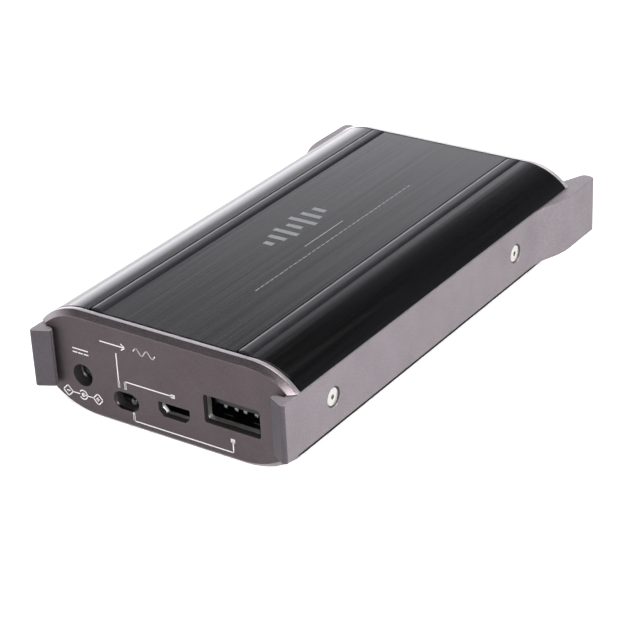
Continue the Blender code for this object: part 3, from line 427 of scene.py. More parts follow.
def shoulder_arcs(inset=0.0, steps=40):
    """Right-hand shoulder arcs of the body section drawn in by inset, from the top down."""
    edge_x = BODY_HALF_WIDTH - inset
    upper_radius, lower_radius = SHOULDER_RADIUS - inset, LOWER_SHOULDER_RADIUS - inset
    upper_end = math.degrees(math.acos((edge_x - SHOULDER_CENTRE_X) / upper_radius))
    lower_start = -math.degrees(math.acos((edge_x - LOWER_SHOULDER_CENTRE_X) / lower_radius))
    upper_centre = (SHOULDER_CENTRE_X, BODY_TOP - SHOULDER_RADIUS)
    lower_centre = (LOWER_SHOULDER_CENTRE_X, BODY_BOTTOM + LOWER_SHOULDER_RADIUS)
    upper = arc(upper_centre, upper_radius, 90, upper_end, steps)
    lower = arc(lower_centre, lower_radius, lower_start, -90, steps)
    return upper, lower


def panel_outline(inset):
    upper, lower = shoulder_arcs(inset)
    return both_sides(upper + lower)


def strip_groove(middle, level, way):
    """Groove for a strip, from its outer edge to its inner one, with eased edges."""
    edge = GROOVE_EASE
    inner, outer = middle - GROOVE_HALF, middle + GROOVE_HALF
    floor = level - way * GROOVE_DEPTH
    return [(outer + edge, level), (outer, level - way * edge), (outer, floor),
            (inner, floor), (inner, level - way * edge), (inner - edge, level)]


def sleeve_outline():
    """Outer section of the sleeve: strip grooves, side channels and their softened lips."""
    upper, lower = shoulder_arcs()
    lip_x = BODY_HALF_WIDTH - LIP_RADIUS
    half = list(reversed(strip_groove(TOP_STRIP_X, BODY_TOP, 1)))
    half += upper[:-1]
    half += arc((lip_x, CHANNEL_TOP + LIP_DROP), LIP_RADIUS, 25, -75, 6)
    half += [(CHANNEL_X, CHANNEL_TOP - 2 * LIP_DROP), (CHANNEL_X, CHANNEL_BOTTOM + 2 * LIP_DROP)]
    half += arc((lip_x, CHANNEL_BOTTOM - LIP_DROP), LIP_RADIUS, 75, -25, 6)
    half += lower[1:]
    half += strip_groove(BOTTOM_STRIP_X, BODY_BOTTOM, -1)
    return both_sides(half)


def cavity_outline():
    """Inner section of the sleeve with the two rails for the board."""
    radius = SHOULDER_RADIUS - WALL
    top_end = math.degrees(math.acos((SIDE_WALL_INNER_X - SHOULDER_CENTRE_X) / radius))
    half = arc((SHOULDER_CENTRE_X, BODY_TOP - SHOULDER_RADIUS), radius, 90, top_end, 6)
    half += [(SIDE_WALL_INNER_X, RAIL_TOP), (RAIL_X, RAIL_TOP), (RAIL_X, BOARD_SLOT[1]),
             (BOARD_SLOT_X, BOARD_SLOT[1]), (BOARD_SLOT_X, BOARD_SLOT[0]), (RAIL_FOOT_X, BOARD_SLOT[0]),
             (CAVITY_FLOOR_X, BODY_BOTTOM + WALL)]
    return both_sides(half)


def micro_usb_outline(centre, width, height, corner):
    x, z = centre
    right, top = x + width / 2, z + height / 2
    left, bottom = x - width / 2, z - height / 2
    loop = [(left, top), (left, bottom + corner), (left + corner, bottom),
            (right - corner, bottom), (right, bottom + corner), (right, top)]
    return rounded(loop, 0.14)


# ---- mesh makers

TRIANGLES_INSIDE = 1
PLANES = {
    "X": lambda a, b, level: (level, a, b),
    "Y": lambda a, b, level: (a, level, b),
    "Z": lambda a, b, level: (a, b, level),
}


def signed_area(loop):
    return sum(a[0] * b[1] - b[0] * a[1] for a, b in zip(loop, loop[1:] + loop[:1])) / 2


def counter_clockwise(loop):
    return list(loop) if signed_area(loop) > 0 else list(reversed(loop))


def without_repeats(loop):
    kept = []
    for point in loop:
        if not kept or (Vector(point) - Vector(kept[-1])).length > 1e-4:
            kept.append(point)
    if (Vector(kept[0]) - Vector(kept[-1])).length <= 1e-4:
        kept.pop()
    return kept


def offset_loop(loop, inset):
    """Move every side of a counter-clockwise loop inwards by inset."""
    moved = []
    count = len(loop)
    for index in range(count):
        before, here, after = (Vector(loop[(index + k) % count]) for k in (-1, 0, 1))
        one, two = (here - before).normalized(), (after - here).normalized()
        normal = Vector((-one.y - two.y, one.x + two.x))
        if normal.length < 1e-6:
            normal = Vector((-one.y, one.x))
        normal.normalize()
        stretch = max(0.35, normal.dot(Vector((-one.y, one.x))))
        moved.append(tuple(here + normal * inset / stretch))
    return moved


def finish_object(name, bm, finish):
    mesh = bpy.data.meshes.new(name)
    bmesh.ops.recalc_face_normals(bm, faces=bm.faces)
    bm.to_mesh(mesh)
    bm.free()
    obj = bpy.data.objects.new(name, mesh)
    bpy.context.scene.collection.objects.link(obj)
    mesh.materials.append(FINISH[finish])
    smooth(obj)
    return obj


def smooth(obj, sharp_deg=38.0):
    obj.data.shade_smooth()
    obj.data.set_sharp_from_angle(angle=math.radians(sharp_deg))
    normals = obj.modifiers.new("face_weight", "WEIGHTED_NORMAL")
    normals.keep_sharp = True
    normals.weight = 80


def inside(point, loop):
    """True if the point lies within the closed loop."""
    hit = False
    for (ax, ay), (bx, by) in zip(loop, loop[1:] + loop[:1]):
        if (ay > point[1]) != (by > point[1]) and point[0] < ax + (point[1] - ay) * (bx - ax) / (by - ay):
            hit = not hit
    return hit


def cap(bm, loops):
    """Fill one end: the first loop is the outline and the others are holes."""
    verts, places, sides = [], [], []
    for ring, points in loops:
        start = len(verts)
        verts += ring
        places += [Vector(point) for point in points]
        sides += [(start + k, start + (k + 1) % len(ring)) for k in range(len(ring))]
    result = delaunay_2d_cdt(places, sides, [], TRIANGLES_INSIDE, 1e-7)
    sources = [came_from[0] for came_from in result[3]]
    for face in result[2]:
        corners = [sources[index] for index in face]
        middle = sum((places[index] for index in corners), Vector((0.0, 0.0))) / len(corners)
        if not any(inside(middle, points) for ring, points in loops[1:]):
            bm.faces.new([verts[index] for index in corners])


def hole_maker(loop, stations):
    """A hole's outline grows where the outer one would be drawn in."""
    outline = counter_clockwise(without_repeats(loop))
    return lambda inset: offset_loop(outline, -inset), stations


def prism(name, axis, outer, profile, finish, holes=()):
    """Extruded outline. profile lists (inset, level) from one end to the other.

    outer is a loop, or a function that gives the loop for an inset. Each hole is
    (loop, profile) with its own list, and its insets widen the hole.
    """
    bm = bmesh.new()
    to_space = PLANES[axis]
    ends = ([], [])
    drawn_in = outer
    if not callable(outer):
        outline = counter_clockwise(without_repeats(outer))
        drawn_in = partial(offset_loop, outline)
    for at_inset, stations in [(drawn_in, profile)] + [hole_maker(*hole) for hole in holes]:
        loops = [counter_clockwise(at_inset(inset)) for inset, level in stations]
        rings = []
        for points, (inset, level) in zip(loops, stations):
            rings.append([bm.verts.new(Vector(to_space(a, b, level)) * MM) for a, b in points])
        for low, high in zip(rings, rings[1:]):
            for index in range(len(low)):
                nxt = (index + 1) % len(low)
                bm.faces.new((low[index], low[nxt], high[nxt], high[index]))
        ends[0].append((rings[0], loops[0]))
        ends[1].append((rings[-1], loops[-1]))
    for end in ends:
        cap(bm, end)
    return finish_object(name, bm, finish)


def slab_profile(low, high, edge, steps=3):
    """Profile of a plate with both rims rounded by edge."""
    start = [(edge * (1 - math.sin(t)), low + edge * (1 - math.cos(t)))
             for t in [math.pi / 2 * k / steps for k in range(steps + 1)]]
    return start + [(inset, high + low - level) for inset, level in reversed(start)]


def band(inner, outer, low, high):
    """Profile of a ring between two radii and two heights."""
    return [(inner, low), (outer, low), (outer, high), (inner, high), (inner, low)]


def turned(name, profile, origin, direction, finish, steps=96, ripple=None):
    """Solid of revolution. profile lists (radius, height) along direction.

    ripple, if given, is (count, depth, low, high): flutes cut between those heights.
    """
    bm = bmesh.new()
    turn = Vector((0, 0, 1)).rotation_difference(Vector(direction)).to_matrix()
    base = Vector(origin)
    rings = []
    for radius, height in profile:
        if radius < 1e-6:
            rings.append([bm.verts.new((base + turn @ Vector((0, 0, height))) * MM)])
            continue
        ring = []
        for index in range(steps):
            angle = 2 * math.pi * index / steps
            r = radius
            if ripple and ripple[2] <= height <= ripple[3]:
                r -= ripple[1] * (0.5 + 0.5 * math.cos(ripple[0] * angle))
            point = Vector((r * math.cos(angle), r * math.sin(angle), height))
            ring.append(bm.verts.new((base + turn @ point) * MM))
        rings.append(ring)
    for one, two in zip(rings, rings[1:]):
        if len(one) == 1 and len(two) == 1:
            continue
        for index in range(steps):
            nxt = (index + 1) % steps
            around = ((one, index), (one, nxt), (two, nxt), (two, index))
            corners = [ring[at % len(ring)] for ring, at in around]
            bm.faces.new(list(dict.fromkeys(corners)))
    return finish_object(name, bm, finish)


def box(name, low, high, edge, finish):
    """Block with all its edges rounded."""
    bm = bmesh.new()
    bmesh.ops.create_cube(bm, size=1.0)
    size = [(b - a) * MM for a, b in zip(low, high)]
    centre = [(a + b) / 2 * MM for a, b in zip(low, high)]
    bmesh.ops.scale(bm, vec=size, verts=bm.verts)
    bmesh.ops.translate(bm, vec=centre, verts=bm.verts)
    bmesh.ops.bevel(bm, geom=bm.edges[:], offset=edge * MM, segments=3, affect="EDGES", profile=0.5)
    return finish_object(name, bm, finish)


def evaluated_copy(obj):
    graph = bpy.context.evaluated_depsgraph_get()
    graph.update()
    return bpy.data.meshes.new_from_object(obj.evaluated_get(graph))


def carve(obj, *cutters, sharp_deg=38.0, operation="DIFFERENCE"):
    """Boolean the cutters into obj, once and for all, and drop them."""
    obj.modifiers.clear()
    for cutter in cutters:
        cutter.modifiers.clear()
        step = obj.modifiers.new("cut", "BOOLEAN")
        step.operation = operation
        step.solver = "EXACT"
        step.object = cutter
    mesh = evaluated_copy(obj)
    obj.modifiers.clear()
    old = obj.data
    obj.data = mesh
    bpy.data.meshes.remove(old)
    for cutter in cutters:
        bpy.data.objects.remove(cutter, do_unlink=True)
    smooth(obj, sharp_deg)


def join(name, parts):
    """Make one object of several finished ones."""
    bm = bmesh.new()
    materials = []
    for part in parts:
        mesh = evaluated_copy(part)
        start = len(bm.faces)
        bm.from_mesh(mesh)
        bm.faces.ensure_lookup_table()
        for material in mesh.materials:
            if material not in materials:
                materials.append(material)
        for face in bm.faces[start:]:
            face.material_index = materials.index(mesh.materials[face.material_index])
        bpy.data.meshes.remove(mesh)
    for part in parts:
        bpy.data.objects.remove(part, do_unlink=True)
    mesh = bpy.data.meshes.new(name)
    bm.to_mesh(mesh)
    bm.free()
    for material in materials:
        mesh.materials.append(material)
    obj = bpy.data.objects.new(name, mesh)
    bpy.context.scene.collection.objects.link(obj)
    smooth(obj)
    return obj


def mount(obj, body, slot, *nodes):
    """The piece rides on a body and stands for the nodes; slot is not used."""
    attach(obj, body)
    if nodes:
        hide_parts(*nodes)


# ---- case

def make_sleeve():
    profile = slab_profile(SLEEVE_FRONT_Y, SLEEVE_REAR_Y, SLEEVE_EDGE, 2)
    cavity = [(0.0, SLEEVE_FRONT_Y), (0.0, SLEEVE_REAR_Y)]
    sleeve = prism("sleeve", "Y", sleeve_outline(), profile, "sleeve", [(cavity_outline(), cavity)])
    mount(sleeve, "chassis", "sleeve_black", "case_sleeve")


def panel_profile(face_y, side):
    """Chamfer at the face and eased corners all along, as (inset, level)."""
    ease, crown, slant, cut = PANEL_EASE, 0.02, PANEL_EASE * 0.7, PANEL_CHAMFER
    back_y, corner_y = face_y - side * PANEL_THICKNESS, face_y - side * cut
    back = [(ease, back_y), (0.03, back_y + side * 0.03), (0.0, back_y + side * ease)]
    wall = [(0.0, corner_y - side * ease), (crown, corner_y - side * crown), (slant, corner_y + side * slant)]
    face = [(cut - slant, face_y - side * slant), (cut - crown, face_y - side * crown), (cut + ease, face_y)]
    return back + wall + face


def hole_profile(face_y, side, edge):
    """Straight wall that is eased at the face."""
    back_y, ease = face_y - side * PANEL_THICKNESS, edge * 0.3
    return [(0.0, back_y), (0.0, face_y - side * edge), (ease, face_y - side * ease), (edge, face_y)]


def pocket_profile(face_y, side, edge):
    """Opening in front of a USB socket, with the pocket behind it that holds the socket's mouth."""
    back_y = face_y - side * PANEL_THICKNESS
    floor_y = back_y + side * USB_POCKET_DEPTH
    pocket = [(USB_POCKET_MARGIN, back_y), (USB_POCKET_MARGIN, floor_y), (0.0, floor_y)]
    return pocket + hole_profile(face_y, side, edge)[1:]


def slot_profile(face_y, side):
    """Flared rim round a slide switch's slot."""
    back_y, ease, foot = face_y - side * PANEL_THICKNESS, 0.05, SLOT_FLARE + 0.06
    return [(0.0, back_y), (0.0, face_y - side * foot), (ease, face_y - side * SLOT_FLARE * 0.9),
            (SLOT_FLARE * 0.92, face_y - side * ease), (SLOT_FLARE + ease, face_y)]


def slot_width(travel):
    """Length of the slot that lets a switch's nub travel."""
    return travel + 2 * NUB_RADIUS + SLOT_PLAY


def make_panel(name, face_y, side, holes):
    """End panel, cut back at both sides for the plates."""
    clear, edge = 1.0, 0.05
    panel = prism(name, "Y", panel_outline, panel_profile(face_y, side), "panel", holes)
    low_y, high_y = sorted((face_y + side * clear, face_y - side * (PANEL_THICKNESS + clear)))
    cutters = []
    for hand in (-1, 1):
        low_x, high_x = sorted((hand * CHANNEL_X, hand * (BODY_HALF_WIDTH + clear)))
        low, high = (low_x, low_y, CHANNEL_BOTTOM), (high_x, high_y, CHANNEL_TOP)
        cutters.append(box(f"{name}_channel_{hand}", low, high, edge, "panel"))
    carve(panel, *cutters)
    paint_panel_walls(panel, face_y, side)
    return panel


def paint_panel_walls(panel, face_y, side):
    """Painted highlight on the outer wall, painted light on the chamfer, painted shade on the glossy slot
    flare and on the walls in the holes.
    """
    # The far panel's rim takes the brighter painted highlight.
    for finish in ("rim" if side > 0 else "far_rim", "hole", "flare", "chamfer"):
        panel.data.materials.append(FINISH[finish])
    rim_low, rim_high = sorted((face_y - side * PANEL_CHAMFER, face_y - side * PANEL_THICKNESS))
    slot_x, slot_z = SELECTOR if side > 0 else GAIN
    for face in panel.data.polygons:
        steep = abs(face.normal.y) < 0.5
        slanted = 0.5 <= abs(face.normal.y) < 0.95
        depth = wall_distance(face.center)
        if depth < NEAR_WALL:
            bright = steep and rim_low * MM <= face.center.y <= rim_high * MM
            # Painted highlight on the rim band.
            face.material_index = RIM_SLOT if bright else FACE_SLOT
        # Painted light on the chamfer.
        elif slanted and face.normal.y * side > 0.0 and depth < PANEL_CHAMFER + NEAR_WALL:
            face.material_index = CHAMFER_SLOT
        elif steep and abs(face.center.x) < (CHANNEL_X - 1.0) * MM:
            face.material_index = HOLE_SLOT
        else:
            apart = math.hypot(face.center.x / MM - slot_x, face.center.z / MM - slot_z)
            # Painted shade on the slot flare.
            face.material_index = FLARE_SLOT if slanted and apart < FLARE_REACH else FACE_SLOT


def wall_distance(point):
    """How far a point of the panel lies inside its outline."""
    x, z = abs(point.x) / MM, point.z / MM
    centre_x, centre_z, radius = SHOULDER_CENTRE_X, BODY_TOP - SHOULDER_RADIUS, SHOULDER_RADIUS
    if z < (BODY_TOP + BODY_BOTTOM) / 2:
        centre_x, radius = LOWER_SHOULDER_CENTRE_X, LOWER_SHOULDER_RADIUS
        centre_z = BODY_BOTTOM + radius
    if x < centre_x:
        return radius - abs(z - centre_z)
    return radius - math.hypot(x - centre_x, z - centre_z)


def make_rear_panel():
    pocket = pocket_profile(REAR_FACE_Y, 1, PANEL_EASE)
    holes = [
        (rounded_rectangle(USB_A, *USB_A_OPENING), pocket),
        (micro_usb_outline(MICRO_USB, *MICRO_OPENING), pocket),
        (circle(DC_JACK, DC_OPENING_RADIUS), hole_profile(REAR_FACE_Y, 1, PANEL_EASE)),
        (stadium(SELECTOR, slot_width(SELECTOR_TRAVEL), SLOT_HEIGHT), slot_profile(REAR_FACE_Y, 1)),
    ]
    panel = make_panel("socket_panel", REAR_FACE_Y, 1, holes)
    mount(panel, "chassis", "panel_gunmetal", "rear_panel")


def make_front_panel():
    hole = hole_profile(FRONT_FACE_Y, -1, 0.15)
    pipe_hole = hole_profile(FRONT_FACE_Y, -1, 0.1)
    holes = [(circle(KNOB, SHAFT_HOLE_RADIUS), hole)]
    holes += [(circle(at, JACK_HOLE_RADIUS), hole) for at in (PHONES_JACK, INPUT_JACK)]
    holes += [(circle(at, PIPE_HOLE_RADIUS, 40), pipe_hole) for at in LIGHT_PIPES]
    holes.append((stadium(GAIN, slot_width(GAIN_TRAVEL), SLOT_HEIGHT), slot_profile(FRONT_FACE_Y, -1)))
    panel = make_panel("control_panel", FRONT_FACE_Y, -1, holes)
    mount(panel, "chassis", "panel_gunmetal", "front_panel")


def plate_outline(side):
    """Plan of a side plate: hook over the socket panel, flared horn past the control panel."""
    rear_gap_y, front_gap_y = REAR_FACE_Y + PLATE_GAP, FRONT_FACE_Y - PLATE_GAP
    hook_corner = (PLATE_OUTER_X - HOOK_ROUNDING, REAR_TIP_Y - HOOK_ROUNDING)
    horn_y = FRONT_TIP_Y + HORN_ROUNDING
    flare = [(FLARE_X, FRONT_TIP_Y), (FLARE_X, FLARE_END_Y)]
    flare += [(PLATE_OUTER_X, FLARE_START_Y), (PLATE_OUTER_X, 0.0)]
    points = arc(hook_corner, HOOK_ROUNDING, 0, 112, 10)
    points += rounded_bends(HOOK_NOSE, 0.35)
    points += [(PLATE_INNER_X, rear_gap_y), (PLATE_INNER_X, front_gap_y), (HORN_ROOT_X, front_gap_y)]
    points += arc((HORN_TIP_X + HORN_ROUNDING, horn_y), HORN_ROUNDING, 205, 270, 8)
    points += arc((FLARE_X - HORN_ROUNDING, horn_y), HORN_ROUNDING, 270, 360, 12)
    points += rounded_bends(flare, FLARE_BEND, 8)
    return [(side * x, y) for x, y in points]


def make_side_plate(name, side):
    profile = slab_profile(PLATE_BOTTOM, PLATE_TOP, PLATE_EDGE, 4)
    plate = prism(f"{name}_plate", "Z", plate_outline(side), profile, "plate")
    hole, seat, depth = SCREW_HOLE_RADIUS, SCREW_SEAT_RADIUS, SCREW_SEAT_DEPTH
    edge, inner, clear = 0.12, 4.0, 1.03
    bore = [(0.0, -inner), (hole, -inner), (hole, -depth), (seat, -depth), (seat, -edge),
            (seat + edge, 0.0), (seat + edge + clear, clear), (0.0, clear)]
    cutters = []
    for index, screw_y in enumerate(SCREW_Y):
        origin = (side * PLATE_OUTER_X, screw_y, SCREW_Z)
        cutters.append(turned(f"{name}_bore_{index}", bore, origin, (side, 0, 0), "plate", 64))
    carve(plate, *cutters)
    plate.data.materials.append(FINISH["plate_end"])
    plate.data.materials.append(FINISH["plate_top"])
    # Painted light on the faces that look up.
    for face in plate.data.polygons:
        if face.normal.z > 0.6:
            face.material_index = 2
        else:
            # Painted shade on the hook's end faces beyond the socket panel.
            face.material_index = 1 if face.normal.y > 0.25 and face.center.y > REAR_FACE_Y * MM else 0
    mount(plate, "chassis", "plate_gunmetal", f"{name}_side_plate")


def make_screw(name, side, screw_y):
    """Low flat head with a small hexagon socket."""
    origin = (side * PLATE_OUTER_X, screw_y, SCREW_Z)
    radius, shank, seat, sunk = SCREW_HEAD_RADIUS, SCREW_SHANK_RADIUS, SCREW_SEAT_DEPTH, 0.3
    head = [(0.0, -SCREW_LENGTH), (shank, -SCREW_LENGTH), (shank, -seat), (radius - 0.03, -seat),
            (radius, 0.03 - seat), (radius, -0.12 - sunk), (radius - 0.05, -0.03 - sunk),
            (radius - 0.16, -sunk), (0.0, -sunk)]
    screw = turned(f"{name}_head", head, origin, (side, 0, 0), "screw", 72)
    hexagon, mouth, floor, clear = 0.52, 0.6, 0.75, 0.5
    socket = [(0.0, -floor), (hexagon, -floor), (hexagon, -0.04 - sunk), (mouth, 0.02 - sunk),
              (mouth, clear), (0.0, clear)]
    cutter = turned(f"{name}_socket", socket, origin, (side, 0, 0), "screw", 6)
    carve(screw, cutter, sharp_deg=30.0)
    mount(screw, "chassis", "screw_steel", f"{name}_screw")


def make_strip(name, side, top):
    """Rubber strip with a rounded crown and rounded ends, standing in its groove."""
    way = 1 if top else -1
    crown = BODY_TOP + STRIP_PROUD if top else BODY_BOTTOM - STRIP_PROUD
    foot = crown - way * (STRIP_PROUD + GROOVE_DEPTH - STRIP_LIFT)
    steps = 14
    half = []
    for index in range(1, steps):
        turn = math.pi / 2 * index / steps
        x = STRIP_HALF * math.sin(turn) ** (2 / STRIP_SQUARENESS)
        rise = STRIP_DOME * math.cos(turn) ** (2 / STRIP_SQUARENESS)
        half.append((x, crown - way * (STRIP_DOME - rise)))
    half += [(STRIP_HALF, crown - way * STRIP_DOME), (STRIP_HALF, foot)]
    middle = side * (TOP_STRIP_X if top else BOTTOM_STRIP_X)
    loop = [(x + middle, z) for x, z in both_sides(half)]
    start, end = SLEEVE_FRONT_Y + STRIP_END_GAP, SLEEVE_REAR_Y - STRIP_END_GAP
    strip = prism(f"{name}_grip", "Y", loop, slab_profile(start, end, STRIP_END_ROUNDING, 4), "rubber")
    mount(strip, "chassis", "strip_rubber", name)


# ---- socket end pieces

def can_rim(end):
    """Outside of a can, eased at the mouth."""
    return [(0.0, end), (0.0, USB_MOUTH_Y - 0.03), (0.02, USB_MOUTH_Y)]


def can_lips(end, lips):
    """Inside of a can: lips lists (flare, distance from the mouth)."""
    return [(0.0, end)] + [(flare, USB_MOUTH_Y - back) for flare, back in lips]


def shade_inside(can, depth_y):
    """Painted shade: a dark copy of the can's metal behind its lips."""
    can.data.materials.append(FINISH["shade"])
    for face in can.data.polygons:
        face.material_index = 1 if face.center.y < depth_y * MM else 0


def make_usb_a():
    x, z = USB_A
    mouth, end = USB_MOUTH_Y, USB_MOUTH_Y - USB_A_DEPTH
    lips = can_lips(end, [(0.0, 1.1), (0.08, 0.9), (0.3, 0.06), (0.34, 0.0)])
    outer, inner = rounded_rectangle(USB_A, *USB_A_CAN), rounded_rectangle(USB_A, *USB_A_INSIDE)
    parts = [prism("usb_a_can", "Y", outer, can_rim(end), "socket", [(inner, lips)])]
    shade_inside(parts[0], mouth - 0.95)
    spring_front, half, thin = mouth - 1.9, 1.1, 0.14
    # The springs inside take the painted shade as well.
    for shift in (-3.4, 3.4):
        for height in (2.4, -2.4):
            low = (x + shift - half, mouth - 11.0, z + height - thin)
            high = (x + shift + half, spring_front, z + height + thin)
            parts.append(box(f"spring_{shift}_{height}", low, high, 0.06, "shade"))
    for way in (-1, 1):
        low_x, high_x = sorted((x + way * 6.05, x + way * 6.22))
        low, high = (low_x, mouth - 9.0, z - 1.1), (high_x, spring_front, z + 0.9)
        parts.append(box(f"side_spring_{way}", low, high, 0.05, "shade"))
    mount(join("usb_a_socket", parts), "chassis", "socket_metal", "usb_a_shell")
    make_usb_a_core(x, z, mouth, end)


def make_usb_a_core(x, z, mouth, end):
    """Tongue with four contacts, whose toes bend down behind the mouth."""
    core = [box("usb_back", (x - 5.9, end + 0.6, z - 2.2), (x + 5.9, end + 3.6, z + 2.2), 0.15, "dark")]
    low, high = (x - 5.4, end + 2.0, z + 0.1), (x + 5.4, mouth - 1.2, z + 1.9)
    core.append(box("usb_blade", low, high, 0.18, "dark"))
    half, toe_half, toe_back, toe_front = 0.5, 0.44, mouth - 1.85, mouth - 1.3
    for index, offset in enumerate((-3.5, -1.0, 1.0, 3.5)):
        middle = x + offset
        reach = mouth - (2.0 if index in (0, 3) else 2.9)
        low, high = (middle - half, end + 3.7, z - 0.02), (middle + half, reach, z + 0.22)
        core.append(box(f"usb_contact_{index}", low, high, 0.07, "gold"))
        low, high = (middle - toe_half, toe_back, z - 0.62), (middle + toe_half, toe_front, z + 0.12)
        core.append(box(f"usb_toe_{index}", low, high, 0.12, "toe"))
    mount(join("usb_a_core", core), "chassis", "black_plastic", "usb_a_tongue")


def make_micro_usb():
    x, z = MICRO_USB
    mouth, end = USB_MOUTH_Y, USB_MOUTH_Y - MICRO_DEPTH
    lips = can_lips(end, [(0.0, 0.6), (0.04, 0.5), (0.24, 0.05), (0.28, 0.0)])
    outer, inner = micro_usb_outline(MICRO_USB, *MICRO_CAN), micro_usb_outline(MICRO_USB, *MICRO_INSIDE)
    shell = prism("micro_can", "Y", outer, can_rim(end), "socket", [(inner, lips)])
    shade_inside(shell, mouth - 0.55)
    mount(shell, "chassis", "socket_metal", "micro_usb_shell")
    core = [box("micro_back", (x - 2.3, end + 0.4, z - 0.9), (x + 2.3, end + 2.0, z + 0.9), 0.1, "dark")]
    low, high = (x - 1.9, end + 1.2, z + 0.1), (x + 1.9, mouth - 0.5, z + 0.75)
    core.append(box("micro_blade", low, high, 0.12, "dark"))
    pitch, half = 0.65, 0.16
    for index in range(5):
        middle = x + (index - 2) * pitch
        low, high = (middle - half, end + 1.8, z), (middle + half, mouth - 1.0, z + 0.15)
        core.append(box(f"micro_contact_{index}", low, high, 0.04, "gold"))
    mount(join("micro_usb_core", core), "chassis", "black_plastic", "micro_usb_tongue")


def make_dc_jack():
    """Black block with a round bore, a contact sleeve in it and the pin on its axis."""
    x, z = DC_JACK
    mouth, along = (x, SLEEVE_REAR_Y, z), (0, 1, 0)
    half, radius, step, floor = 2.95, DC_BORE_RADIUS, 1.15, 10.8
    low, high = (x - half, SLEEVE_REAR_Y - 11.5, FOOT_Z), (x + half, SLEEVE_REAR_Y, z + 3.4)
    body = box("dc_body", low, high, 0.2, "plastic")
    bore = [(0.0, -floor), (step, -floor), (step, -9.5), (radius, -9.5), (radius, -0.25),
            (radius + 0.3, 0.05), (radius + 0.3, 1.0), (0.0, 1.0)]
    carve(body, turned("dc_bore", bore, mouth, along, "plastic", 64))
    mount(body, "chassis", "black_plastic", "dc_jack")
    spring = turned("dc_spring", band(radius - 0.15, radius - 0.03, -9.3, -1.0), mouth, along, "socket", 64)
    pin = DC_PIN_RADIUS
    rod = [(0.0, -0.8), (pin - 0.43, -0.84), (pin - 0.19, -1.0), (pin - 0.05, -1.3), (pin, -1.7),
           (pin, -10.5), (0.0, -10.5)]
    rod = turned("dc_rod", rod, mouth, along, "socket", 48)
    mount(join("dc_jack_contact", [spring, rod]), "chassis", "socket_metal", "dc_jack_pin")


def make_slide_switch(name, centre, travel, face_y, side):
    """Black switch block with its pocket, and the slider with a ball-ended nub."""
    x, z = centre
    front = face_y - side * (PANEL_THICKNESS + PANEL_GAP)
    pocket = SLIDER_HALF + travel / 2 + 0.3
    nub_x = x - travel / 2

    def slab(part, middle, half, depths, heights, edge):
        """Block between two depths behind the front and two heights."""
        low_y, high_y = sorted(front - side * depth for depth in depths)
        low, high = (middle - half, low_y, heights[0]), (middle + half, high_y, heights[1])
        return box(f"{name}_{part}", low, high, edge, "dark")

    block = slab("block", x, pocket + 1.2, (0.0, 5.0), (FOOT_Z, z + 2.0), 0.12)
    carve(block, slab("skirt", x, pocket, (0.0, 0.3), (FOOT_Z - 1.0, z - 1.1), 0.02), operation="UNION")
    carve(block, slab("hollow", x, pocket, (-1.0, 2.6), (z - 0.8, z + 1.4), 0.05))
    mount(block, "chassis", "black_plastic", f"{name}_switch")
    base = slab("base", nub_x, SLIDER_HALF, (0.3, 2.3), (z - 0.5, z + 1.0), 0.12)
    root_depth, neck, radius, stem = 1.0, 1.3, NUB_RADIUS, NUB_STEM_RADIUS
    length = PANEL_THICKNESS + PANEL_GAP + root_depth - NUB_SUNK
    ball = [(radius * math.sin(t), length - radius + radius * math.cos(t))
            for t in [math.pi / 2 * k / 10 for k in range(11)]]
    ball += [(radius, neck + 0.1), (radius - 0.1, neck), (stem, neck), (stem, 0.0), (0.0, 0.0)]
    root = (nub_x, front - side * root_depth, z)
    nub = turned(f"{name}_stem", ball, root, (0, side, 0), "nub", 64)
    mount(join(f"{name}_nub", [base, nub]), name, "black_plastic", f"{name}_slider")


# ---- control end pieces

def make_audio_jack(name, centre):
    """3.5 mm socket: board block, round nose with a stepped lip, contact ring in the bore."""
    x, z = centre
    root, out = (x, SLEEVE_FRONT_Y, z), (0, -1, 0)
    half, nose, tip, bore = 4.0, JACK_NOSE_RADIUS, JACK_NOSE_LENGTH, JACK_BORE_RADIUS
    low, high = (x - half, SLEEVE_FRONT_Y, FOOT_Z), (x + half, SLEEVE_FRONT_Y + 11.0, z + 3.7)
    body = box(f"{name}_block", low, high, 0.2, "plastic")
    outside = [(0.0, -1.0), (nose, -1.0), (nose, tip - 0.25), (nose - 0.08, tip - 0.1), (nose - 0.25, tip),
               (nose - 0.6, tip), (nose - 0.65, tip - 0.15), (0.0, tip - 0.15)]
    carve(body, turned(f"{name}_nose", outside, root, out, "plastic", 72), operation="UNION")
    hollow = [(0.0, -9.5), (bore, -9.5), (bore, tip - 0.35), (bore + 0.2, tip - 0.1),
              (bore + 0.2, 4.0), (0.0, 4.0)]
    carve(body, turned(f"{name}_bore", hollow, root, out, "plastic", 64))
    ring = turned(f"{name}_ring", band(bore - 0.18, bore - 0.02, -1.5, 1.7), root, out, "gold", 64)
    mount(join(f"{name}_socket", [body, ring]), "chassis", "black_plastic", name)


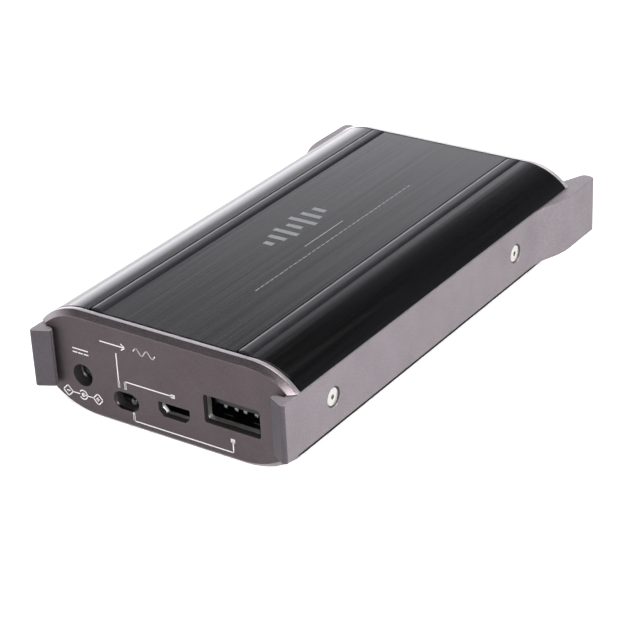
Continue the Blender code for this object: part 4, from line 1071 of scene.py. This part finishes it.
def make_knob():
    """Turned cap with fine flutes, a dished face and a cut index line."""
    x, z = KNOB
    top, radius, tip_y = KNOB_LENGTH, KNOB_RADIUS, KNOB_BACK_Y - KNOB_LENGTH
    dish = [(0.0, top - 0.32), (3.6, top - 0.3), (4.75, top - 0.24), (5.0, top - 0.1), (5.12, top - 0.02)]
    crown = [(5.25, top), (5.72, top), (5.86, top - 0.05), (6.12, top - 0.31)]
    wall = [(radius, height) for height in (top - 0.5, top - 0.7, top - 0.9, 1.0, 0.8, 0.4)]
    foot = [(radius - 0.08, 0.12), (radius - 0.3, 0.0)]
    recess, recess_top, bore, bore_top = 5.1, 2.2, 2.8, top - 1.7
    back = [(recess, 0.0), (recess, recess_top), (bore, recess_top), (bore, bore_top), (0.0, bore_top)]
    flutes = (KNOB_FLUTES, 0.16, 0.95, top - 0.85)
    knob = turned("knob_cap", dish + crown + wall + foot + back, (x, KNOB_BACK_Y, z), (0, -1, 0), "knob",
                  4 * KNOB_FLUTES, flutes)
    line = box("knob_line", (x - 0.28, tip_y - 0.8, z + 3.1), (x + 0.28, tip_y + 0.55, z + 5.6), 0.06, "knob")
    carve(knob, line)
    low, high = (x - 0.25, tip_y + 0.28, z + 3.15), (x + 0.25, tip_y + 0.5, z + 4.9)
    fill = box("knob_index", low, high, 0.05, "ink")
    piece = join("knob", [knob, fill])
    centre = Vector((x * MM, 0.0, z * MM))
    turn = Matrix.Rotation(math.radians(KNOB_START), 4, "Y")
    piece.data.transform(Matrix.Translation(centre) @ turn @ Matrix.Translation(-centre))
    mount(piece, "knob", "knob_aluminium", "volume_knob")


def make_light_pipe(name, centre):
    x, z = centre
    lens = [(0.0, 0.1), (0.45, 0.07), (0.66, 0.0), (0.75, -0.12), (0.75, -5.0), (0.0, -5.0)]
    pipe = turned(f"{name}_lens", lens, (x, FRONT_FACE_Y, z), (0, -1, 0), "light", 48)
    mount(pipe, "chassis", "light_guide", name)


# ---- panel print

def ink_strokes(name, lines, discs, rings, face, way, axis, width, finish):
    """Raised print: straight strokes, filled discs and rings, on a plane."""
    parts = []
    low, high = sorted((face - way * 0.01, face + way * 0.03))
    flat = [(0.0, low), (0.0, high)]
    for index, (start, end) in enumerate(lines):
        a, b = Vector(start), Vector(end)
        along = (b - a).normalized() * width / 2
        across = Vector((-along.y, along.x))
        corners = [a - along - across, b + along - across, b + along + across, a - along + across]
        parts.append(prism(f"{name}_stroke_{index}", axis, [tuple(c) for c in corners], flat, finish))
    for index, (centre, radius) in enumerate(discs):
        parts.append(prism(f"{name}_disc_{index}", axis, circle(centre, radius, 32), flat, finish))
    for index, (centre, radius, start, end) in enumerate(rings):
        outer = arc(centre, radius + width / 2, start, end, 32)
        inner = arc(centre, radius - width / 2, end, start, 32)
        parts.append(prism(f"{name}_ring_{index}", axis, outer + inner, flat, finish))
    return join(name, parts)


def chain(*points):
    return list(zip(points, points[1:]))


def square(centre, half):
    """Four strokes, one over the other, that fill a square."""
    x, z = centre
    return row_of_strokes(x - half, x + half, [z + half * share for share in (-0.75, -0.25, 0.25, 0.75)])


def row_of_strokes(start, end, levels):
    """Strokes from start to end, one at each level."""
    return [((start, level), (end, level)) for level in levels]


def dashes(level, *spans):
    """Strokes at one level, each between its two ends."""
    return [((start, level), (end, level)) for start, end in spans]


def diamond(centre, half):
    x, z = centre
    return chain((x + half, z), (x, z + half), (x - half, z), (x, z - half), (x + half, z))


def make_panel_print():
    """Routing lines between the selector and the two USB sockets, polarity and input marks."""
    micro_end, usb_end, end_half = (-1.9, 10.5), (-15.25, 4.95), 0.36
    lines = chain((10.95, 16.1), (10.95, 9.0))
    lines += chain((9.4, 9.0), (9.4, 10.5), micro_end)
    lines += chain((7.9, 3.9), (7.9, 2.45), (-15.25, 2.45), (-15.25, 4.9))
    lines += square(micro_end, end_half) + square(usb_end, end_half)
    bars = chain((10.95, 10.1), (10.95, 9.05)) + chain((9.4, 10.2), (9.4, 9.05))
    bars += chain((7.9, 4.0), (7.9, 2.7))
    sign_z, sign_half, ring_x = 4.65, 0.35, 20.2
    lines += dashes(sign_z, (22.75, 21.15), (ring_x, 17.75))
    lines += diamond((23.95, sign_z), 1.2) + diamond((16.55, sign_z), 1.2)
    lines += dashes(sign_z, (24.25, 23.55), (16.95, 16.25))
    lines += chain((16.6, sign_z + sign_half), (16.6, sign_z - sign_half))
    supply_z, dash_z, arrow_z = 14.6, 13.8, 17.85
    lines += dashes(supply_z, (21.6, 18.0)) + dashes(dash_z, (21.6, 20.7), (20.25, 19.35), (18.9, 18.0))
    lines += dashes(arrow_z, (14.6, 8.6)) + chain((9.5, arrow_z + 0.6), (8.6, arrow_z), (9.5, arrow_z - 0.6))
    lines += chain(*[(6.6 - 0.25 * k, arrow_z + 0.62 * math.sin(k * math.pi / 5)) for k in range(21)])
    dots, rings = [((ring_x, sign_z), 0.42)], [((ring_x, sign_z), 0.95, 35, 325)]
    fine = ink_strokes("routing_print", lines, dots, rings, REAR_FACE_Y, 1, "Y", 0.22, "ink")
    thick = ink_strokes("bar_print", bars, [], [], REAR_FACE_Y, 1, "Y", 0.46, "ink")
    mount(join("socket_panel_print", [fine, thick]), "chassis", "light_guide")


def make_control_print():
    """Level arc round the knob and small marks over the jacks."""
    x, z = KNOB
    tick_steps, tick_start, tick_end, top_margin = 10, 6.9, 7.5, 1.6
    marks = []
    for step in range(tick_steps + 1):
        angle = math.radians(KNOB_START + KNOB_TURN * step / tick_steps)
        way = Vector((math.sin(angle), math.cos(angle)))
        start, end = Vector((x, z)) + way * tick_start, Vector((x, z)) + way * tick_end
        if end.y < BODY_TOP - top_margin:
            marks.append((tuple(start), tuple(end)))
    for jack_x, jack_z in (PHONES_JACK, INPUT_JACK):
        for mark_x in (jack_x - 1.2, jack_x + 1.2):
            marks += chain((mark_x, jack_z + 5.0), (mark_x, jack_z + 5.8))
    rings = [((PHONES_JACK[0], PHONES_JACK[1] + 5.6), 1.2, 0, 180)]
    piece = ink_strokes("control_panel_print", marks, [], rings, FRONT_FACE_Y, -1, "Y", 0.22, "ink")
    mount(piece, "chassis", "light_guide")


def make_top_print():
    """Plain level-bar mark with a hairline and a dashed line below it."""
    bar_x, bar_lengths, bar_pitch, first_y = 5.2, (2.0, 3.8, 5.6, 3.4, 6.4, 4.6, 2.8), 3.0, 11.6
    lines = []
    for index, length in enumerate(bar_lengths):
        levels = [first_y - bar_pitch * index + shift for shift in (-0.5, -0.25, 0, 0.25, 0.5)]
        lines += row_of_strokes(bar_x - length / 2, bar_x + length / 2, levels)
    lines += chain((-1.9, 9.2), (-1.9, -4.2))
    lines += [((-4.6, 29.8 - 1.6 * k), (-4.6, 28.8 - 1.6 * k)) for k in range(35)]
    piece = ink_strokes("top_mark", lines, [], [], BODY_TOP, 1, "Z", 0.26, "soft_ink")
    mount(piece, "chassis", "light_guide")


# ---- assembly

CARRIED = {
    "potentiometer": "screw", "potentiometer_nut": "screw", "knob_shaft": "screw", "main_board": "board",
    "battery_shelf": "plastic", "battery_cell": "cell", "battery_pad": "foam", "battery_connector": "light",
    "battery_lead_positive": "red", "battery_lead_negative": "black", "dac_chip": "plastic",
    "usb_bridge_chip": "plastic", "headphone_amp_chip": "plastic", "charger_chip": "plastic",
    "power_inductor": "plastic", "clock_crystal": "screw", "output_capacitor_1": "screw",
    "output_capacitor_2": "screw", "output_capacitor_3": "screw", "output_capacitor_4": "screw",
    "shield_can": "screw",
}


def paint_carried_nodes():
    for name, finish in CARRIED.items():
        slots = NODES[name].data.materials
        slots.clear()
        slots.append(FINISH[finish])


def build():
    make_sleeve()
    make_rear_panel()
    make_front_panel()
    for name, side in (("left", -1), ("right", 1)):
        make_side_plate(name, side)
        for end, screw_y in zip(("rear", "front"), SCREW_Y):
            make_screw(f"{name}_{end}", side, screw_y)
        make_strip(f"top_strip_{name}", side, True)
        make_strip(f"bottom_strip_{name}", side, False)
    make_usb_a()
    make_micro_usb()
    make_dc_jack()
    make_slide_switch("selector", SELECTOR, SELECTOR_TRAVEL, REAR_FACE_Y, 1)
    make_slide_switch("gain", GAIN, GAIN_TRAVEL, FRONT_FACE_Y, -1)
    make_audio_jack("phones_jack", PHONES_JACK)
    make_audio_jack("input_jack", INPUT_JACK)
    make_knob()
    for name, at in zip(("power_light_pipe", "charge_light_pipe"), LIGHT_PIPES):
        make_light_pipe(name, at)
    make_panel_print()
    make_control_print()
    make_top_print()
    paint_carried_nodes()


# ---- floor and lights

SKY_HORIZON = 1.0
SKY_BY_HEIGHT = ((0.30, 0.60), (0.38, 0.32), (0.46, 0.10), (0.56, 0.02), (0.9, 0.01))
SKY_ZENITH = (1.0, 0.01)
SKY_SIDE = {"From Min": -0.25, "From Max": 0.35, "To Min": 0.12, "To Max": 1.0}
SKY_STRENGTH = 4.0
SKY_COLOUR = (0.985, 0.975, 1.03, 1.0)
FLOOR_HALF = 2.5
FLOOR_GLOW = 0.45

# Area lights in metres and watts: name, place, target, size, power
LIGHTS = (
    ("overhead", (0.0, -0.2, 1.1), (0.0, 0.0, 0.0), (0.9, 0.9), 8.0),
    ("right_softbox", (-0.55, -0.08, 0.16), (0.0, 0.0, 0.01), (0.4, 0.2), 2.9),
    ("near_fill", (-0.56, 0.66, 0.46), (0.0, 0.05, 0.01), (0.3, 0.3), 7.0),
)


def make_floor():
    corners = [(x * FLOOR_HALF, y * FLOOR_HALF, 0) for x, y in ((-1, -1), (1, -1), (1, 1), (-1, 1))]
    mesh = bpy.data.meshes.new("floor")
    mesh.from_pydata(corners, [], [(0, 1, 2, 3)])
    floor = bpy.data.objects.new("floor", mesh)
    bpy.context.scene.collection.objects.link(floor)
    material, n = finish_of("floor_paper", 0.0, 0.2)
    cloud = n.noise((30.0, 30.0, 30.0), 2.0)
    n.tint((0.92, 0.92, 0.92), cloud, 0.995, 1.005)
    n.rough(cloud, 0.75, 0.85)
    n.shader.inputs["Emission Color"].default_value = (1.0, 1.0, 1.0, 1.0)
    n.shader.inputs["Emission Strength"].default_value = FLOOR_GLOW
    mesh.materials.append(material)


def make_world():
    """Bright horizon behind the far side that falls off to a dark ceiling."""
    world = bpy.data.worlds.new("studio")
    bpy.context.scene.world = world
    n = Nodes(world, "Background")
    parts = n.add("ShaderNodeSeparateXYZ")
    n.join(n.add("ShaderNodeTexCoord").outputs["Generated"], parts.inputs["Vector"])
    height = n.add("ShaderNodeFloatCurve")
    curve = height.mapping.curves[0]
    curve.points[0].location = (0.0, SKY_HORIZON)
    for position, value in SKY_BY_HEIGHT:
        curve.points.new(position, value)
    # The highest point moves up to stand under the curve's own end, which shapes the fall below it
    curve.points[len(SKY_BY_HEIGHT)].location = SKY_ZENITH
    height.mapping.update()
    n.join(parts.outputs["Z"], height.inputs["Value"])
    side = n.add("ShaderNodeMapRange", interpolation_type="SMOOTHSTEP")
    for name, value in SKY_SIDE.items():
        side.inputs[name].default_value = value
    n.join(parts.outputs["X"], side.inputs["Value"])
    product = n.add("ShaderNodeMath", operation="MULTIPLY")
    n.join(height.outputs["Value"], product.inputs[0])
    n.join(side.outputs["Result"], product.inputs[1])
    strength = n.add("ShaderNodeMath", operation="MULTIPLY")
    strength.inputs[1].default_value = SKY_STRENGTH
    n.join(product.outputs["Value"], strength.inputs[0])
    n.join(strength.outputs["Value"], n.shader.inputs["Strength"])
    n.shader.inputs["Color"].default_value = SKY_COLOUR


def make_area_light(name, place, target, size, power):
    data = bpy.data.lights.new(name, "AREA")
    data.shape = "RECTANGLE"
    data.size, data.size_y = size
    data.energy = power
    light = bpy.data.objects.new(name, data)
    bpy.context.scene.collection.objects.link(light)
    light.location = place
    light.rotation_mode = "QUATERNION"
    light.rotation_quaternion = (Vector(target) - Vector(place)).to_track_quat("-Z", "Y")


def make_lights():
    for light in LIGHTS:
        make_area_light(*light)


# ---- camera

CAMERA_PLACE = (-0.2133566, 0.3053152, 0.1968254)
CAMERA_TURN = 0.6177208690
CAMERA_TILT = 0.4797263730
CAMERA_ROLL = -0.0510438865
CAMERA_LENS = 117.32675


def make_camera():
    sin_a, cos_a = math.sin(CAMERA_TURN), math.cos(CAMERA_TURN)
    sin_e, cos_e = math.sin(CAMERA_TILT), math.cos(CAMERA_TILT)
    right = Vector((-cos_a, -sin_a, 0.0))
    up = Vector((sin_a * sin_e, -cos_a * sin_e, cos_e))
    back = Vector((-sin_a * cos_e, cos_a * cos_e, sin_e))
    cos_r, sin_r = math.cos(CAMERA_ROLL), math.sin(CAMERA_ROLL)
    rolled_right = right * cos_r + up * sin_r
    rolled_up = up * cos_r - right * sin_r
    data = bpy.data.cameras.new("camera")
    data.lens = CAMERA_LENS
    data.sensor_width = 36.0
    data.clip_start = 0.01
    camera = bpy.data.objects.new("camera", data)
    bpy.context.scene.collection.objects.link(camera)
    turn = Matrix((rolled_right, rolled_up, back)).transposed().to_4x4()
    camera.matrix_world = Matrix.Translation(CAMERA_PLACE) @ turn
    bpy.context.scene.camera = camera


build()
make_floor()
make_world()
make_lights()
make_camera()
bpy.context.scene.view_settings.view_transform = "Standard"
